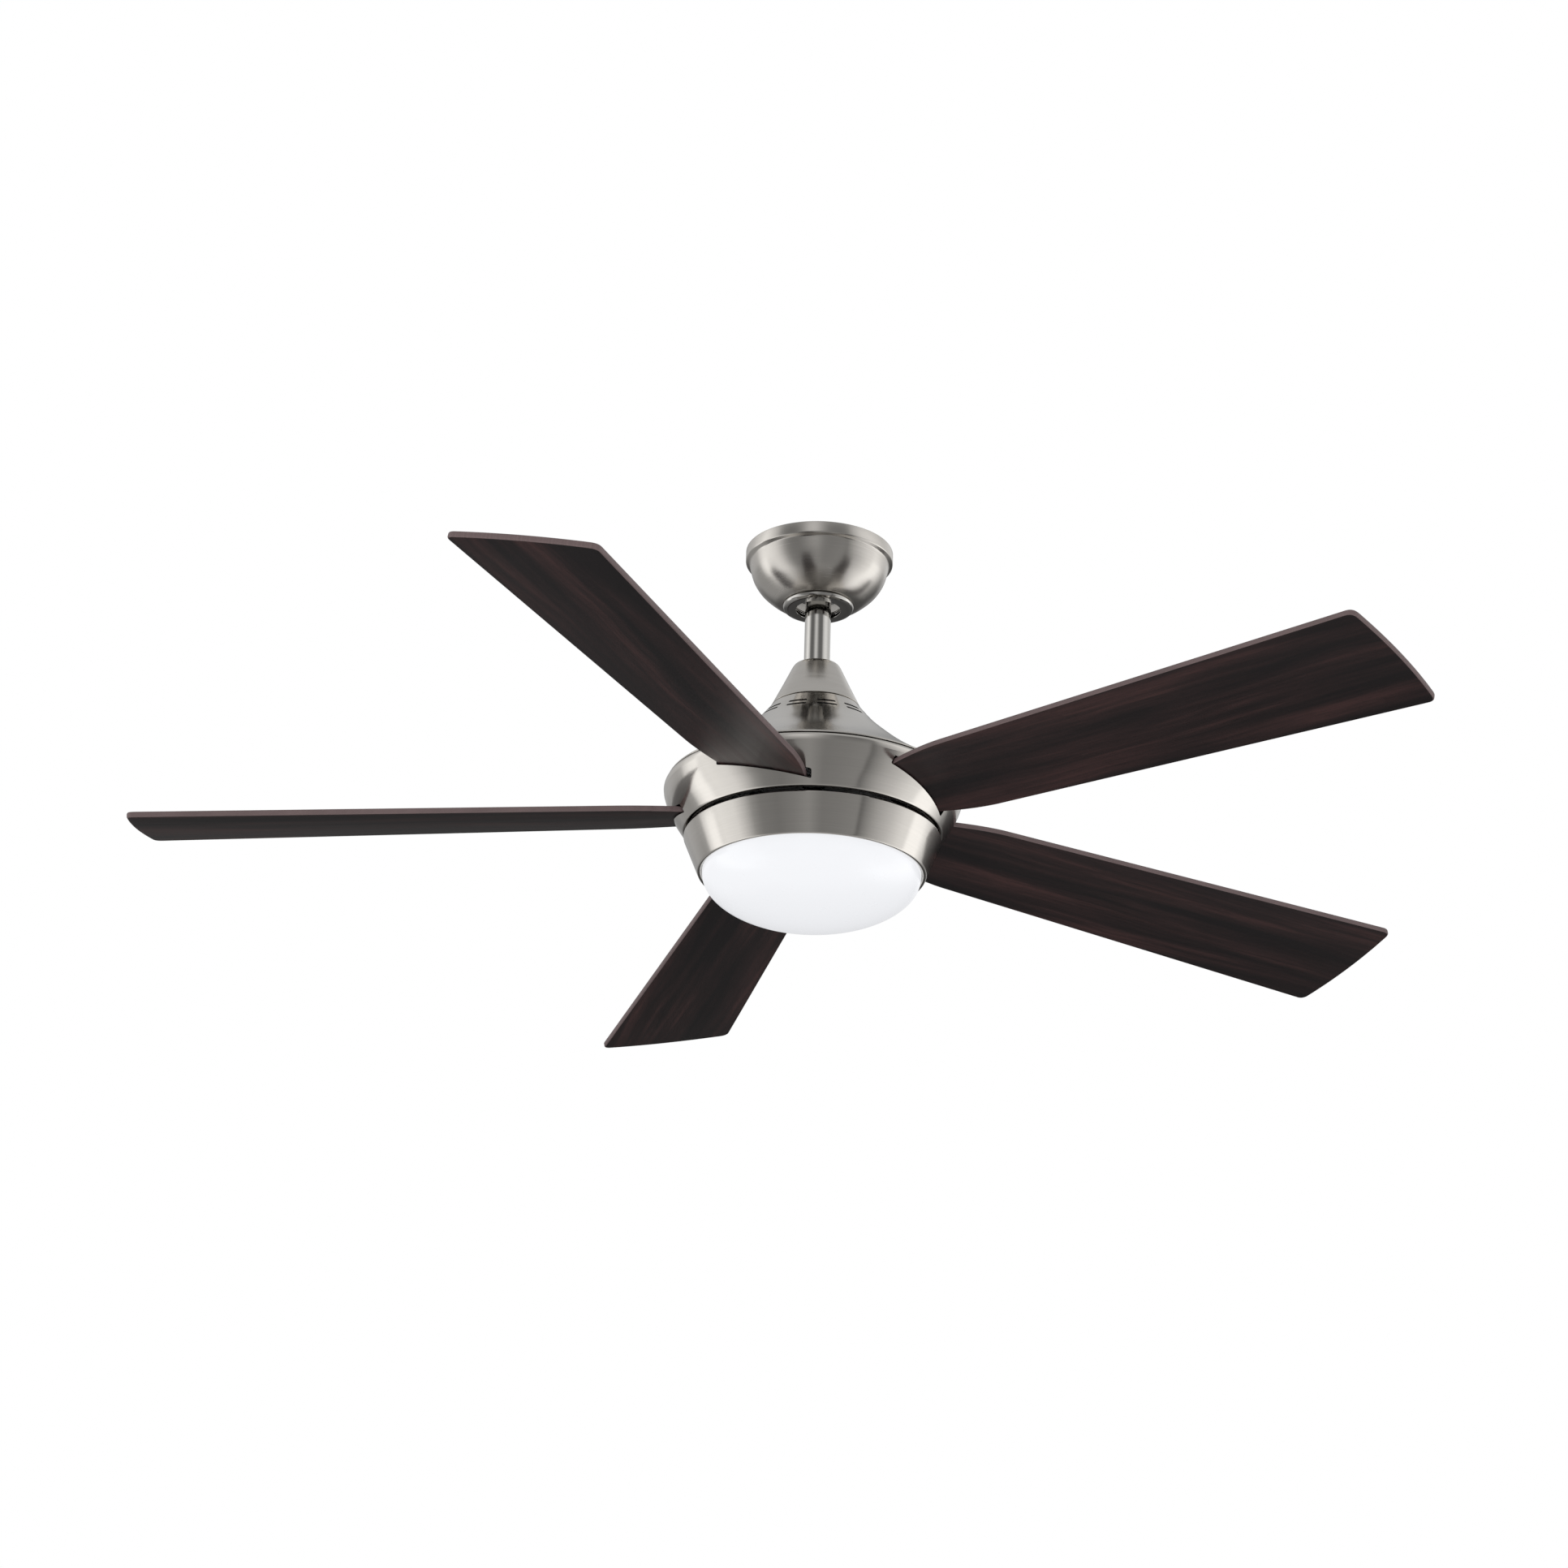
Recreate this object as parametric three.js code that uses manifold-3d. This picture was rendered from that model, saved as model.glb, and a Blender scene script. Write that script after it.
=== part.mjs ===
// Ceiling fan with five pitched blades and a round light, hung from the ceiling on a short rod.
// Millimetres, +Z up. The origin is the middle of the ceiling face, and everything hangs below it.
// Profiles are lists of [radius, height] points that are turned about the Z axis.
import * as THREE from 'three';
import { mergeVertices } from 'three/addons/utils/BufferGeometryUtils.js';
import Module from 'manifold-3d';

const wasm = await Module();
wasm.setup();

// ---- Driving dimensions ----
const GAP = 0.3; // clearance between pieces that touch
const WALL = 1.4; // sheet-metal shells

const BLADE_COUNT = 5;
const FIRST_BLADE = 180; // degrees, blade_1 points along -X
const SWEEP_RADIUS = 661;
const BLADE_PITCH = 12.9; // degrees, the counter-clockwise edge is the lower one
const BLADE_DROOP = 1; // degrees, tips lower than the hub
const BLADE_THICK = 5.5;
const BLADE_PLANE = -281; // underside of the blades where their lines meet on the axis
const BLADE_ROOT = 90;
const BLADE_SCREWS = [[99, -17], [99, 17], [119, 0]];
const BLADE_SCREW_R = 2.2;

const CANOPY_RADIUS = 72.5;
const CANOPY_BOTTOM = -56.5;
const ROD_OPENING = 22; // radius of the hole that the rod swings in
const CANOPY_SCREW_X = 28.5;
const TRIM_TWIST = 15; // degrees from locked to the keyholes' round ends

const BALL_CENTRE = -34;
const BALL_RADIUS = 20;
const PIN_RADIUS = 3;
const ROD_RADIUS = 12.7;
const ROD_BORE = 10.7;
const ROD_TOP = -17;
const ROD_BOTTOM = -165.5;
const CLEVIS_PIN_HEIGHT = -145;
const SET_SCREW_HEIGHT = -136;
const LEAD_RADIUS = 3.2;
const LEAD_OFFSET = 6.8; // the leads pass beside the two pins

const COVER_TOP = -122.5;
const COVER_BOTTOM = -168;
const HOUSING_TOP = -169.3;
const HOUSING_BOTTOM = -253.1;
const VENT_GROUPS = 12;
const VENT_FIRST = 15; // degrees
const VENT_ROWS = [{ height: -181.2, radius: 53.3 }, { height: -186.7, radius: 58 }];
const VENT_WIDTH = 0.35; // share of the row's radius
const VENT_HIGH = 2.5;

const SHAFT_RADIUS = 8.5;
const SHAFT_BORE = 5.2;
const MOTOR_MIDDLE = -227.5;
const BEARING_OUTER = 20;
const STATOR_TEETH = 9;

const DRUM_TOP = -254;
const DRUM_BOTTOM = -300.3;
const LIGHT_TOP = -305;
const GLASS_RIM = -342;
const GLASS_RADIUS = 104.9;
const GLASS_DEPTH = 46;
const GLASS_WALL = 3;
const GLASS_NECK = 98.2;
const GLASS_TWIST = 20; // degrees from locked to the notches
const LUG_COUNT = 3;

const LARGE = 25; // segments round the large shells
const MEDIUM = 18;
const SMALL = 12;
const TINY = 8;

// ---- Solids ----
const rad = THREE.MathUtils.degToRad;

// A closed mesh without doubled corners or flat triangles, with its faces outwards.
function solid(geometry) {
  const bare = geometry.index ? geometry.toNonIndexed() : geometry.clone();
  bare.deleteAttribute('normal');
  bare.deleteAttribute('uv');
  const merged = mergeVertices(bare, 1e-4);
  const place = merged.attributes.position.array;
  const kept = [];
  let volume = 0;
  for (let i = 0; i < merged.index.count; i += 3) {
    const [a, b, c] = [0, 1, 2].map((k) => merged.index.getX(i + k));
    if (a === b || b === c || c === a) continue;
    kept.push(a, b, c);
    const [p, q, r] = [a, b, c].map((v) => new THREE.Vector3().fromArray(place, v * 3));
    volume += p.dot(q.cross(r));
  }
  if (volume < 0) kept.reverse();
  const triVerts = new Uint32Array(kept);
  return new wasm.Manifold(new wasm.Mesh({ numProp: 3, vertProperties: place, triVerts }));
}

function geometryOf(body) {
  const mesh = body.getMesh();
  const geometry = new THREE.BufferGeometry();
  geometry.setAttribute('position', new THREE.BufferAttribute(mesh.vertProperties, 3));
  geometry.setIndex(new THREE.BufferAttribute(mesh.triVerts, 1));
  const flat = geometry.toNonIndexed();
  flat.computeVertexNormals();
  return flat;
}

const join = (bodies) => bodies.reduce((whole, body) => whole.add(body));
const cut = (body, cutters) => cutters.reduce((left, cutter) => left.subtract(cutter), body);

// A profile turned about Z. It is closed on itself unless it starts and ends on the axis.
function turned(profile, segments) {
  const points = profile.map(([r, z]) => new THREE.Vector2(r, z));
  const onAxis = points[0].x === 0 && points.at(-1).x === 0;
  if (!onAxis) points.push(points[0].clone());
  return solid(new THREE.LatheGeometry(points, segments).rotateX(Math.PI / 2));
}

const ring = (inner, outer, low, high, segments) =>
  turned([[inner, low], [outer, low], [outer, high], [inner, high]], segments);

// The inner line of a wall whose outer line runs away from its start with the material on the right.
function offsetLine(line, distance) {
  return line.map(([r, z], i) => {
    const before = line[Math.max(i - 1, 0)];
    const after = line[Math.min(i + 1, line.length - 1)];
    const into = new THREE.Vector2(r - before[0], z - before[1]).normalize();
    const away = new THREE.Vector2(after[0] - r, after[1] - z).normalize();
    const along = into.clone().add(away).normalize();
    const mitre = distance / Math.max(along.dot(i ? into : away), 0.5);
    return [r + along.y * mitre, z - along.x * mitre];
  });
}

const shell = (line, wall, segments) => turned([...line, ...offsetLine(line, wall).reverse()], segments);

function smooth(points, steps) {
  const curve = new THREE.SplineCurve(points.map(([r, z]) => new THREE.Vector2(r, z)));
  return curve.getPoints(steps).map((p) => [p.x, p.y]);
}

const placed = (geometry, x, y, z) => solid(geometry.translate(x, y, z));
const box = (wide, deep, high, x, y, z) => placed(new THREE.BoxGeometry(wide, deep, high), x, y, z);

function upright(radius, low, high, x, y, segments) {
  const cylinder = new THREE.CylinderGeometry(radius, radius, high - low, segments).rotateX(Math.PI / 2);
  return placed(cylinder, x, y, (low + high) / 2);
}

function alongX(radius, from, to, y, z, segments) {
  const cylinder = new THREE.CylinderGeometry(radius, radius, to - from, segments).rotateZ(Math.PI / 2);
  return placed(cylinder, (from + to) / 2, y, z);
}

function alongY(radius, from, to, x, z, segments) {
  return placed(new THREE.CylinderGeometry(radius, radius, to - from, segments), x, (from + to) / 2, z);
}

function plate(outline, low, high, holes = [], holeRadius = 0) {
  const shape = outline instanceof THREE.Shape ? outline : new THREE.Shape(outline);
  for (const [x, y] of holes) shape.holes.push(new THREE.Path().absarc(x, y, holeRadius, 0, 2 * Math.PI));
  const geometry = new THREE.ExtrudeGeometry(shape, {
    depth: high - low, bevelEnabled: false, curveSegments: 3,
  });
  return geometry.translate(0, 0, low);
}

// A round slot centred on the axis, between two angles in degrees.
function arcSlot(radius, halfWidth, from, to, low, high) {
  const shape = new THREE.Shape();
  shape.absarc(0, 0, radius + halfWidth, rad(from), rad(to), false);
  shape.absarc(0, 0, radius - halfWidth, rad(to), rad(from), true);
  return solid(plate(shape, low, high));
}

const spread = (count, first = 0) => Array.from({ length: count }, (_, i) => first + (360 / count) * i);
const polar = (radius, degrees) => [radius * Math.cos(rad(degrees)), radius * Math.sin(rad(degrees))];

// ---- Materials ----
const finish = (color, roughness, metalness) => () =>
  new THREE.MeshStandardMaterial({ color, roughness, metalness });
const nickel = finish(0xb4afa8, 0.3, 1);
const brightNickel = finish(0xd0ccc6, 0.15, 1);
const zincSteel = finish(0x9b9ea1, 0.4, 1);
const darkSteel = finish(0x3b3c3e, 0.5, 1);
const castAluminium = finish(0x8f9194, 0.55, 1);
const bearingSteel = finish(0xc4c7ca, 0.2, 1);
const copper = finish(0xb06a38, 0.4, 1);
const espresso = finish(0x2b1c1a, 0.45, 0);
const opalGlass = finish(0xf1f2f6, 0.25, 0);
const whitePaint = finish(0xe9e9e6, 0.6, 0);
const blackPlastic = finish(0x1d1d1f, 0.5, 0);
const whitePlastic = finish(0xe4e3dd, 0.5, 0);
const board = finish(0xf4f3ea, 0.5, 0);
const leadCover = finish(0x2a2a2c, 0.6, 0);

const fan = new THREE.Group();

function add(name, body, material, parent = fan) {
  const mesh = new THREE.Mesh(geometryOf(body), material());
  mesh.name = name;
  parent.add(mesh);
  return mesh;
}

// ---- Ceiling bracket and canopy ----
const FOOT_BOTTOM = CANOPY_BOTTOM + WALL + GAP;
const SEAT_LOW = -45;
const SEAT_HIGH = -38;
const CANOPY_SCREW_R = 2;
const CLEAR_HOLE_R = 2.3; // round a screw of radius 2
const HEAD_TOP = CANOPY_BOTTOM - 1.8;
const HEAD_HIGH = 1.8;

// A flat plate with two arms that carry a C-shaped ball seat, open towards -Y.
function hangerBracket() {
  const ceilingPlate = box(116, 40, 2.5, 0, 0, -1.25);
  const receiverTab = box(28, 30, 2.5, 0, 33, -1.25);
  const arms = [-1, 1].map((side) => box(3, 20, 45, side * 26, 0, -23));
  const footTop = SEAT_LOW + 2;
  const footHigh = footTop - FOOT_BOTTOM;
  const feet = [-1, 1].map((side) => box(9, 12, footHigh, side * 29, 0, footTop - footHigh / 2));
  const seat = upright(26.2, SEAT_LOW, SEAT_HIGH, 0, 0, MEDIUM);
  const body = join([ceilingPlate, receiverTab, ...arms, ...feet, seat]);
  const ballRoom = placed(new THREE.SphereGeometry(BALL_RADIUS + 0.8, MEDIUM, 10), 0, 0, BALL_CENTRE);
  const wayIn = box(27.2, 30, 20, 0, -15, (SEAT_LOW + SEAT_HIGH) / 2);
  const boxScrewSlots = [-1, 1].map((side) => box(9, 5, 6, side * 46, 0, -1.25));
  const footHoles = [-1, 1].map((side) => upright(CLEAR_HOLE_R, -60, -44, side * CANOPY_SCREW_X, 0, TINY));
  return cut(body, [ballRoom, wayIn, ...boxScrewSlots, ...footHoles]);
}

const CANOPY_LINE = [
  [CANOPY_RADIUS, 0], [CANOPY_RADIUS, -11.5], [68.6, -13.6],
  ...smooth([[67.8, -18], [64.5, -29], [58.5, -39], [50, -47.5], [42, -53.5], [35, CANOPY_BOTTOM]], 5),
  [ROD_OPENING + 0.5, CANOPY_BOTTOM],
];

function canopy() {
  const holes = [-1, 1].map((side) => upright(CLEAR_HOLE_R, -60, -50, side * CANOPY_SCREW_X, 0, TINY));
  return cut(shell(CANOPY_LINE, WALL, LARGE), holes);
}

function canopyScrew(side) {
  const x = side * CANOPY_SCREW_X;
  const head = upright(3.6, HEAD_TOP - HEAD_HIGH, HEAD_TOP, x, 0, TINY);
  return head.add(upright(CANOPY_SCREW_R, HEAD_TOP - 0.5, -47, x, 0, TINY));
}

// A dished ring, open towards the rod. Its top has two keyholes: turned by TRIM_TWIST, the screw
// heads pass through their round ends.
const TRIM_TOP = CANOPY_BOTTOM - 0.6;
const TRIM_LINE = [
  [ROD_OPENING, TRIM_TOP - 4.9], [30, TRIM_TOP - 5], [33.9, TRIM_TOP - 3.5], [34.7, TRIM_TOP - 1.4],
  [34.4, TRIM_TOP - 0.3], [33.6, TRIM_TOP], [ROD_OPENING + 1, TRIM_TOP],
  [ROD_OPENING + 1, TRIM_TOP - 0.9], [33.4, TRIM_TOP - 0.9], [33, TRIM_TOP - 3],
  [30, TRIM_TOP - 4], [ROD_OPENING, TRIM_TOP - 3.9],
];

function canopyTrimRing() {
  const low = TRIM_TOP - 2;
  const high = TRIM_TOP + 1;
  const keyholes = spread(2).flatMap((angle) => [
    arcSlot(CANOPY_SCREW_X, 2.4, angle - TRIM_TWIST, angle, low, high),
    upright(2.4, low, high, ...polar(CANOPY_SCREW_X, angle), TINY),
    upright(4.1, low, high, ...polar(CANOPY_SCREW_X, angle - TRIM_TWIST), SMALL),
  ]);
  return cut(turned(TRIM_LINE, LARGE), keyholes);
}

function remoteReceiver() {
  const body = box(56, 21, 23.4, 0, 35, -14.5);
  const antennaBoss = alongX(3, 27, 31, 35, -20, TINY);
  const ventRows = [-8, 0, 8].map((x) => box(5, 2, 12, x, 45.5, -14.5));
  return cut(body.add(antennaBoss), ventRows);
}

add('hanger_bracket', hangerBracket(), zincSteel);
add('canopy', canopy(), nickel);
add('canopy_screw_left', canopyScrew(-1), brightNickel);
add('canopy_screw_right', canopyScrew(1), brightNickel);
add('canopy_trim_ring', canopyTrimRing(), brightNickel);
add('remote_receiver', remoteReceiver(), blackPlastic);

// ---- Hanger ball, rod and leads ----
const BALL_SCREW_HEIGHT = BALL_CENTRE + 9;

function hangerBall() {
  const sphere = placed(new THREE.SphereGeometry(BALL_RADIUS, MEDIUM, 10), 0, 0, BALL_CENTRE);
  const bore = upright(ROD_RADIUS + GAP, -60, 0, 0, 0, MEDIUM);
  const crossHole = alongX(PIN_RADIUS + GAP, -25, 25, 0, BALL_CENTRE, SMALL);
  const screwHole = alongY(CLEAR_HOLE_R, 10, 25, 0, BALL_SCREW_HEIGHT, TINY);
  const slab = box(50, 50, 28.4, 0, 0, BALL_CENTRE);
  return cut(sphere.intersect(slab), [bore, crossHole, screwHole]);
}

function downrod() {
  const tube = ring(ROD_BORE, ROD_RADIUS, ROD_BOTTOM, ROD_TOP, MEDIUM);
  const holes = [BALL_CENTRE, CLEVIS_PIN_HEIGHT].map((z) => alongX(PIN_RADIUS + GAP, -20, 20, 0, z, SMALL));
  return cut(tube, holes);
}

// The bundle runs beside the pins, then bends onto the axis to enter the hollow shaft.
function wireHarness() {
  const points = [
    [LEAD_OFFSET, -13.3], [LEAD_OFFSET, -50], [LEAD_OFFSET, -100], [LEAD_OFFSET, -151],
    [3.4, -160], [0.3, -169], [0, -180], [0, -240], [0, -311],
  ];
  const route = new THREE.CatmullRomCurve3(points.map(([y, z]) => new THREE.Vector3(0, y, z)));
  const section = new THREE.Shape().absarc(0, 0, LEAD_RADIUS, 0, 2 * Math.PI);
  return solid(new THREE.ExtrudeGeometry(section, { steps: 18, curveSegments: 4, extrudePath: route }));
}

function wirePlug() {
  const shellBody = box(12, 9, 6.6, 0, LEAD_OFFSET, -9.7);
  const latch = box(4, 1.5, 5, 0, LEAD_OFFSET + 5, -9.7);
  const sockets = [-3.6, 0, 3.6].map((x) => box(2, 3, 3, x, LEAD_OFFSET, -6.9));
  return cut(shellBody.add(latch), sockets);
}

add('hanger_ball', hangerBall(), blackPlastic);
add('ball_cross_pin', alongX(PIN_RADIUS, -18, 18, 0, BALL_CENTRE, SMALL), bearingSteel);
add('ball_set_screw', alongY(2, ROD_RADIUS + GAP, 17.4, 0, BALL_SCREW_HEIGHT, TINY), darkSteel);
add('downrod', downrod(), brightNickel);
add('wire_harness', wireHarness(), leadCover);
add('wire_plug', wirePlug(), whitePlastic);

// ---- Coupling, its pin and cover ----
const COLLAR_RADIUS = 17.5;
const FLANGE_TOP = HOUSING_TOP - WALL - GAP;
const HOUSING_SCREW_CIRCLE = 26;

const housingScrewHoles = () => spread(3, 90).map((angle) =>
  upright(CLEAR_HOLE_R, -180, -160, ...polar(HOUSING_SCREW_CIRCLE, angle), TINY));

function motorCoupling() {
  const inside = ROD_RADIUS + GAP;
  const shelf = ROD_BOTTOM - GAP;
  const hole = SHAFT_RADIUS + GAP;
  const body = turned([
    [inside, -131], [COLLAR_RADIUS, -131], [COLLAR_RADIUS, FLANGE_TOP], [32, FLANGE_TOP],
    [32, FLANGE_TOP - 4.5], [hole, FLANGE_TOP - 4.5], [hole, shelf], [inside, shelf],
  ], MEDIUM);
  const pinHole = alongX(PIN_RADIUS + GAP, -25, 25, 0, CLEVIS_PIN_HEIGHT, SMALL);
  const setHole = alongY(2.8, -25, 0, 0, SET_SCREW_HEIGHT, TINY);
  return cut(body, [pinHole, setHole, ...housingScrewHoles()]);
}

function clevisPin() {
  const head = alongX(5, -21, -18.2, 0, CLEVIS_PIN_HEIGHT, SMALL);
  const shank = alongX(PIN_RADIUS, -18.5, 24, 0, CLEVIS_PIN_HEIGHT, SMALL);
  const clipHole = upright(1.3, CLEVIS_PIN_HEIGHT - 5, CLEVIS_PIN_HEIGHT + 5, 20.8, 0, TINY);
  return head.add(shank).subtract(clipHole);
}

// A bent wire: one leg goes through the pin, and the other clasps its side.
function hairpinClip() {
  const points = [[0, 9], [0, 0], [0, -8], [-2.2, -10.6], [-4.4, -8], [-4.6, -2], [-4.4, 4], [-6, 8]];
  const route = new THREE.CatmullRomCurve3(points.map(([y, z]) => new THREE.Vector3(20.8, y, z)));
  const section = new THREE.Shape().absarc(0, 0, 0.8, 0, 2 * Math.PI);
  const wire = new THREE.ExtrudeGeometry(section, { steps: 16, curveSegments: 3, extrudePath: route });
  return placed(wire, 0, 0, CLEVIS_PIN_HEIGHT);
}

function couplingSetScrew() {
  const shank = alongY(2.5, -20, -(ROD_RADIUS + GAP), 0, SET_SCREW_HEIGHT, TINY);
  return shank.add(alongY(4.6, -22.6, -18.4, 0, SET_SCREW_HEIGHT, 6));
}

const COVER_LINE = [
  [ROD_RADIUS + 0.6, COVER_TOP], [20, COVER_TOP], [22.2, COVER_TOP - 1.2], [24, COVER_TOP - 4],
  [33.5, -147], [43.6, COVER_BOTTOM],
];

add('motor_coupling', motorCoupling(), zincSteel);
add('clevis_pin', clevisPin(), bearingSteel);
add('hairpin_clip', hairpinClip(), bearingSteel);
add('coupling_set_screw', couplingSetScrew(), darkSteel);
add('coupling_cover', shell(COVER_LINE, WALL, MEDIUM), nickel);

// ---- Upper housing ----
const HOUSING_LINE = [
  [20, HOUSING_TOP], [44.2, HOUSING_TOP],
  ...smooth([[46.4, -172.6], [61, -190], [80, -207.5], [97, -221.5], [115, -234.5], [139, -250]], 6),
  [141.9, HOUSING_BOTTOM + 1.7], [142.3, HOUSING_BOTTOM],
];

// Two rows of slits under the neck let the motor's heat out.
function ventSlits() {
  return VENT_ROWS.flatMap(({ height, radius }) => spread(VENT_GROUPS, VENT_FIRST).map((angle) => {
    const slit = new THREE.BoxGeometry(9, VENT_WIDTH * radius, VENT_HIGH).translate(radius, 0, height);
    return solid(slit.rotateZ(rad(angle)));
  }));
}

function upperHousing() {
  return cut(shell(HOUSING_LINE, WALL, LARGE), [...housingScrewHoles(), ...ventSlits()]);
}

function housingScrew(angle) {
  const [x, y] = polar(HOUSING_SCREW_CIRCLE, angle);
  const head = upright(3.8, HOUSING_TOP + GAP, HOUSING_TOP + 2.3, x, y, TINY);
  return head.add(upright(2, FLANGE_TOP - 4, HOUSING_TOP + 1, x, y, TINY));
}

add('upper_housing', upperHousing(), nickel);
spread(3, 90).forEach((angle, i) => add(`housing_screw_${i + 1}`, housingScrew(angle), darkSteel));

// ---- Motor: a fixed shaft and stator inside a turning case ----
const motor = new THREE.Group();
motor.position.z = MOTOR_MIDDLE;
fan.add(motor);

const SHAFT_TOP = -168;
const SHAFT_BOTTOM = -303.2;
const SHOULDER_LOW = -296.7;

function motorShaft() {
  return turned([
    [SHAFT_BORE, SHAFT_TOP], [SHAFT_RADIUS, SHAFT_TOP], [SHAFT_RADIUS, SHOULDER_LOW + 5],
    [12, SHOULDER_LOW + 5], [12, SHOULDER_LOW], [SHAFT_RADIUS, SHOULDER_LOW],
    [SHAFT_RADIUS, SHAFT_BOTTOM], [SHAFT_BORE, SHAFT_BOTTOM],
  ], SMALL);
}

// Half of the motor case; side is 1 for the upper half and -1 for the lower.
function motorCover(side) {
  const line = [
    [10.5, 24], [26, 24], [30, 21.5], [62, 18.5], [76, 12], [80, 6], [80, 0.2], [77, 0.2], [77, 5.5],
    [73.5, 10.2], [61, 15.7], [25.5, 18.3], [25.5, 11], [BEARING_OUTER + GAP, 11],
    [BEARING_OUTER + GAP, 22], [10.5, 22],
  ];
  return turned(line.map(([r, z]) => [r, side * z]), MEDIUM);
}

// Iron sheets with T-shaped teeth.
function statorCore() {
  const back = 30;
  const outline = spread(STATOR_TEETH).flatMap((angle) => [
    polar(back, angle - 9), polar(55.5, angle - 5), polar(57, angle - 17), polar(61.4, angle - 17),
    polar(61.8, angle - 6), polar(61.8, angle + 6), polar(61.4, angle + 17), polar(57, angle + 17),
    polar(55.5, angle + 5), polar(back, angle + 9),
  ]);
  const shape = new THREE.Shape(outline.map(([x, y]) => new THREE.Vector2(x, y)));
  const shaftHole = upright(SHAFT_RADIUS + 2 * GAP, -8, 8, 0, 0, SMALL);
  return solid(plate(shape, -7.5, 7.5)).subtract(shaftHole);
}

// Coil bundles above and below the teeth, joined by the legs that run down between the teeth.
function statorWindings() {
  const legs = spread(STATOR_TEETH, 180 / STATOR_TEETH).map((angle) => {
    const leg = new THREE.BoxGeometry(16, 9, 19).translate(45, 0, 0).rotateZ(rad(angle));
    return solid(leg);
  });
  const heads = [-1, 1].flatMap((side) => spread(STATOR_TEETH).map((angle) => {
    const coil = new THREE.BoxGeometry(17, 24, 3.2).translate(44.5, 0, side * 9.5).rotateZ(rad(angle));
    return solid(coil);
  }));
  const collars = [-1, 1].map((side) => ring(35, 38, side * 9.5 - 1.6, side * 9.5 + 1.6, MEDIUM));
  return join([...collars, ...heads, ...legs]);
}

const BEARING_LOW = 11.5;
const BEARING_HIGH = 21.5;
const BALL_CIRCLE = 14.1;

function addBearing(name, side) {
  const middle = side * (BEARING_LOW + BEARING_HIGH) / 2;
  const race = (inner, outer) => ring(inner, outer, -4.8, 4.8, MEDIUM);
  const cage = ring(BALL_CIRCLE - 1, BALL_CIRCLE + 1, -1.2, 1.2, 7);
  const balls = spread(7).map((angle) =>
    placed(new THREE.SphereGeometry(2, 6, 4), ...polar(BALL_CIRCLE, angle), 0));
  const pieces = {
    inner: race(SHAFT_RADIUS + GAP, 11.6),
    cage: join([cage, ...balls]),
    outer: race(16.6, BEARING_OUTER),
  };
  for (const [piece, body] of Object.entries(pieces)) {
    add(`${name}_${piece}`, body, bearingSteel, motor).position.z = middle;
  }
}

add('motor_shaft', motorShaft(), bearingSteel);
add('motor_top_cover', motorCover(1), castAluminium, motor);
add('motor_bottom_cover', motorCover(-1), castAluminium, motor);
add('rotor_ring', ring(62.4, 75.5, -6, 6, LARGE), darkSteel, motor);
add('stator_core', statorCore(), zincSteel, motor);
add('stator_windings', statorWindings(), copper, motor);
addBearing('upper_bearing', 1);
addBearing('lower_bearing', -1);

// ---- Flywheel, blades and drum: everything that turns with the motor case ----
const FLYWHEEL_TOP = DRUM_TOP - WALL - GAP;
const FLYWHEEL_LOW = FLYWHEEL_TOP - 2.8;
const HUB_TOP = MOTOR_MIDDLE - 24 - GAP;

function bladeFlywheel() {
  const disc = turned([
    [22, HUB_TOP], [45, HUB_TOP], [46, FLYWHEEL_TOP], [134, FLYWHEEL_TOP],
    [134, FLYWHEEL_LOW], [22, FLYWHEEL_LOW],
  ], LARGE);
  const windows = spread(BLADE_COUNT, FIRST_BLADE + 36).map((angle) =>
    upright(17, FLYWHEEL_LOW - 1, FLYWHEEL_TOP + 1, ...polar(92, angle), TINY));
  return cut(disc, windows);
}

// The pitched frame of a blade: X runs along it, Y across it, and Z = 0 is its underside.
function pitchBlade(object) {
  object.position.z = BLADE_PLANE;
  object.rotation.set(rad(-BLADE_PITCH), rad(BLADE_DROOP), 0, 'YXZ');
  return object;
}

// The leading side is y > 0; its shoulder and tip corner lie a little nearer the hub.
function bladeOutline() {
  const tip = SWEEP_RADIUS;
  const corner = 9;
  const shape = new THREE.Shape();
  shape.moveTo(BLADE_ROOT, -33);
  shape.lineTo(134, -44.5);
  shape.quadraticCurveTo(166, -52.2, 190, -53.6);
  shape.lineTo(tip - 4 - corner, -71.6);
  shape.quadraticCurveTo(tip - 4, -72, tip - 3.2, -72 + corner);
  shape.quadraticCurveTo(tip + 2, 4, tip - 6.4, 72 - corner);
  shape.quadraticCurveTo(tip - 7.4, 72, tip - 7 - corner, 71.6);
  shape.lineTo(184, 53.8);
  shape.quadraticCurveTo(160, 52.4, 134, 45.5);
  shape.lineTo(BLADE_ROOT, 33);
  return shape;
}

const BRACKET_LOW = BLADE_THICK + GAP;
const BRACKET_HIGH = BRACKET_LOW + 3;

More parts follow.
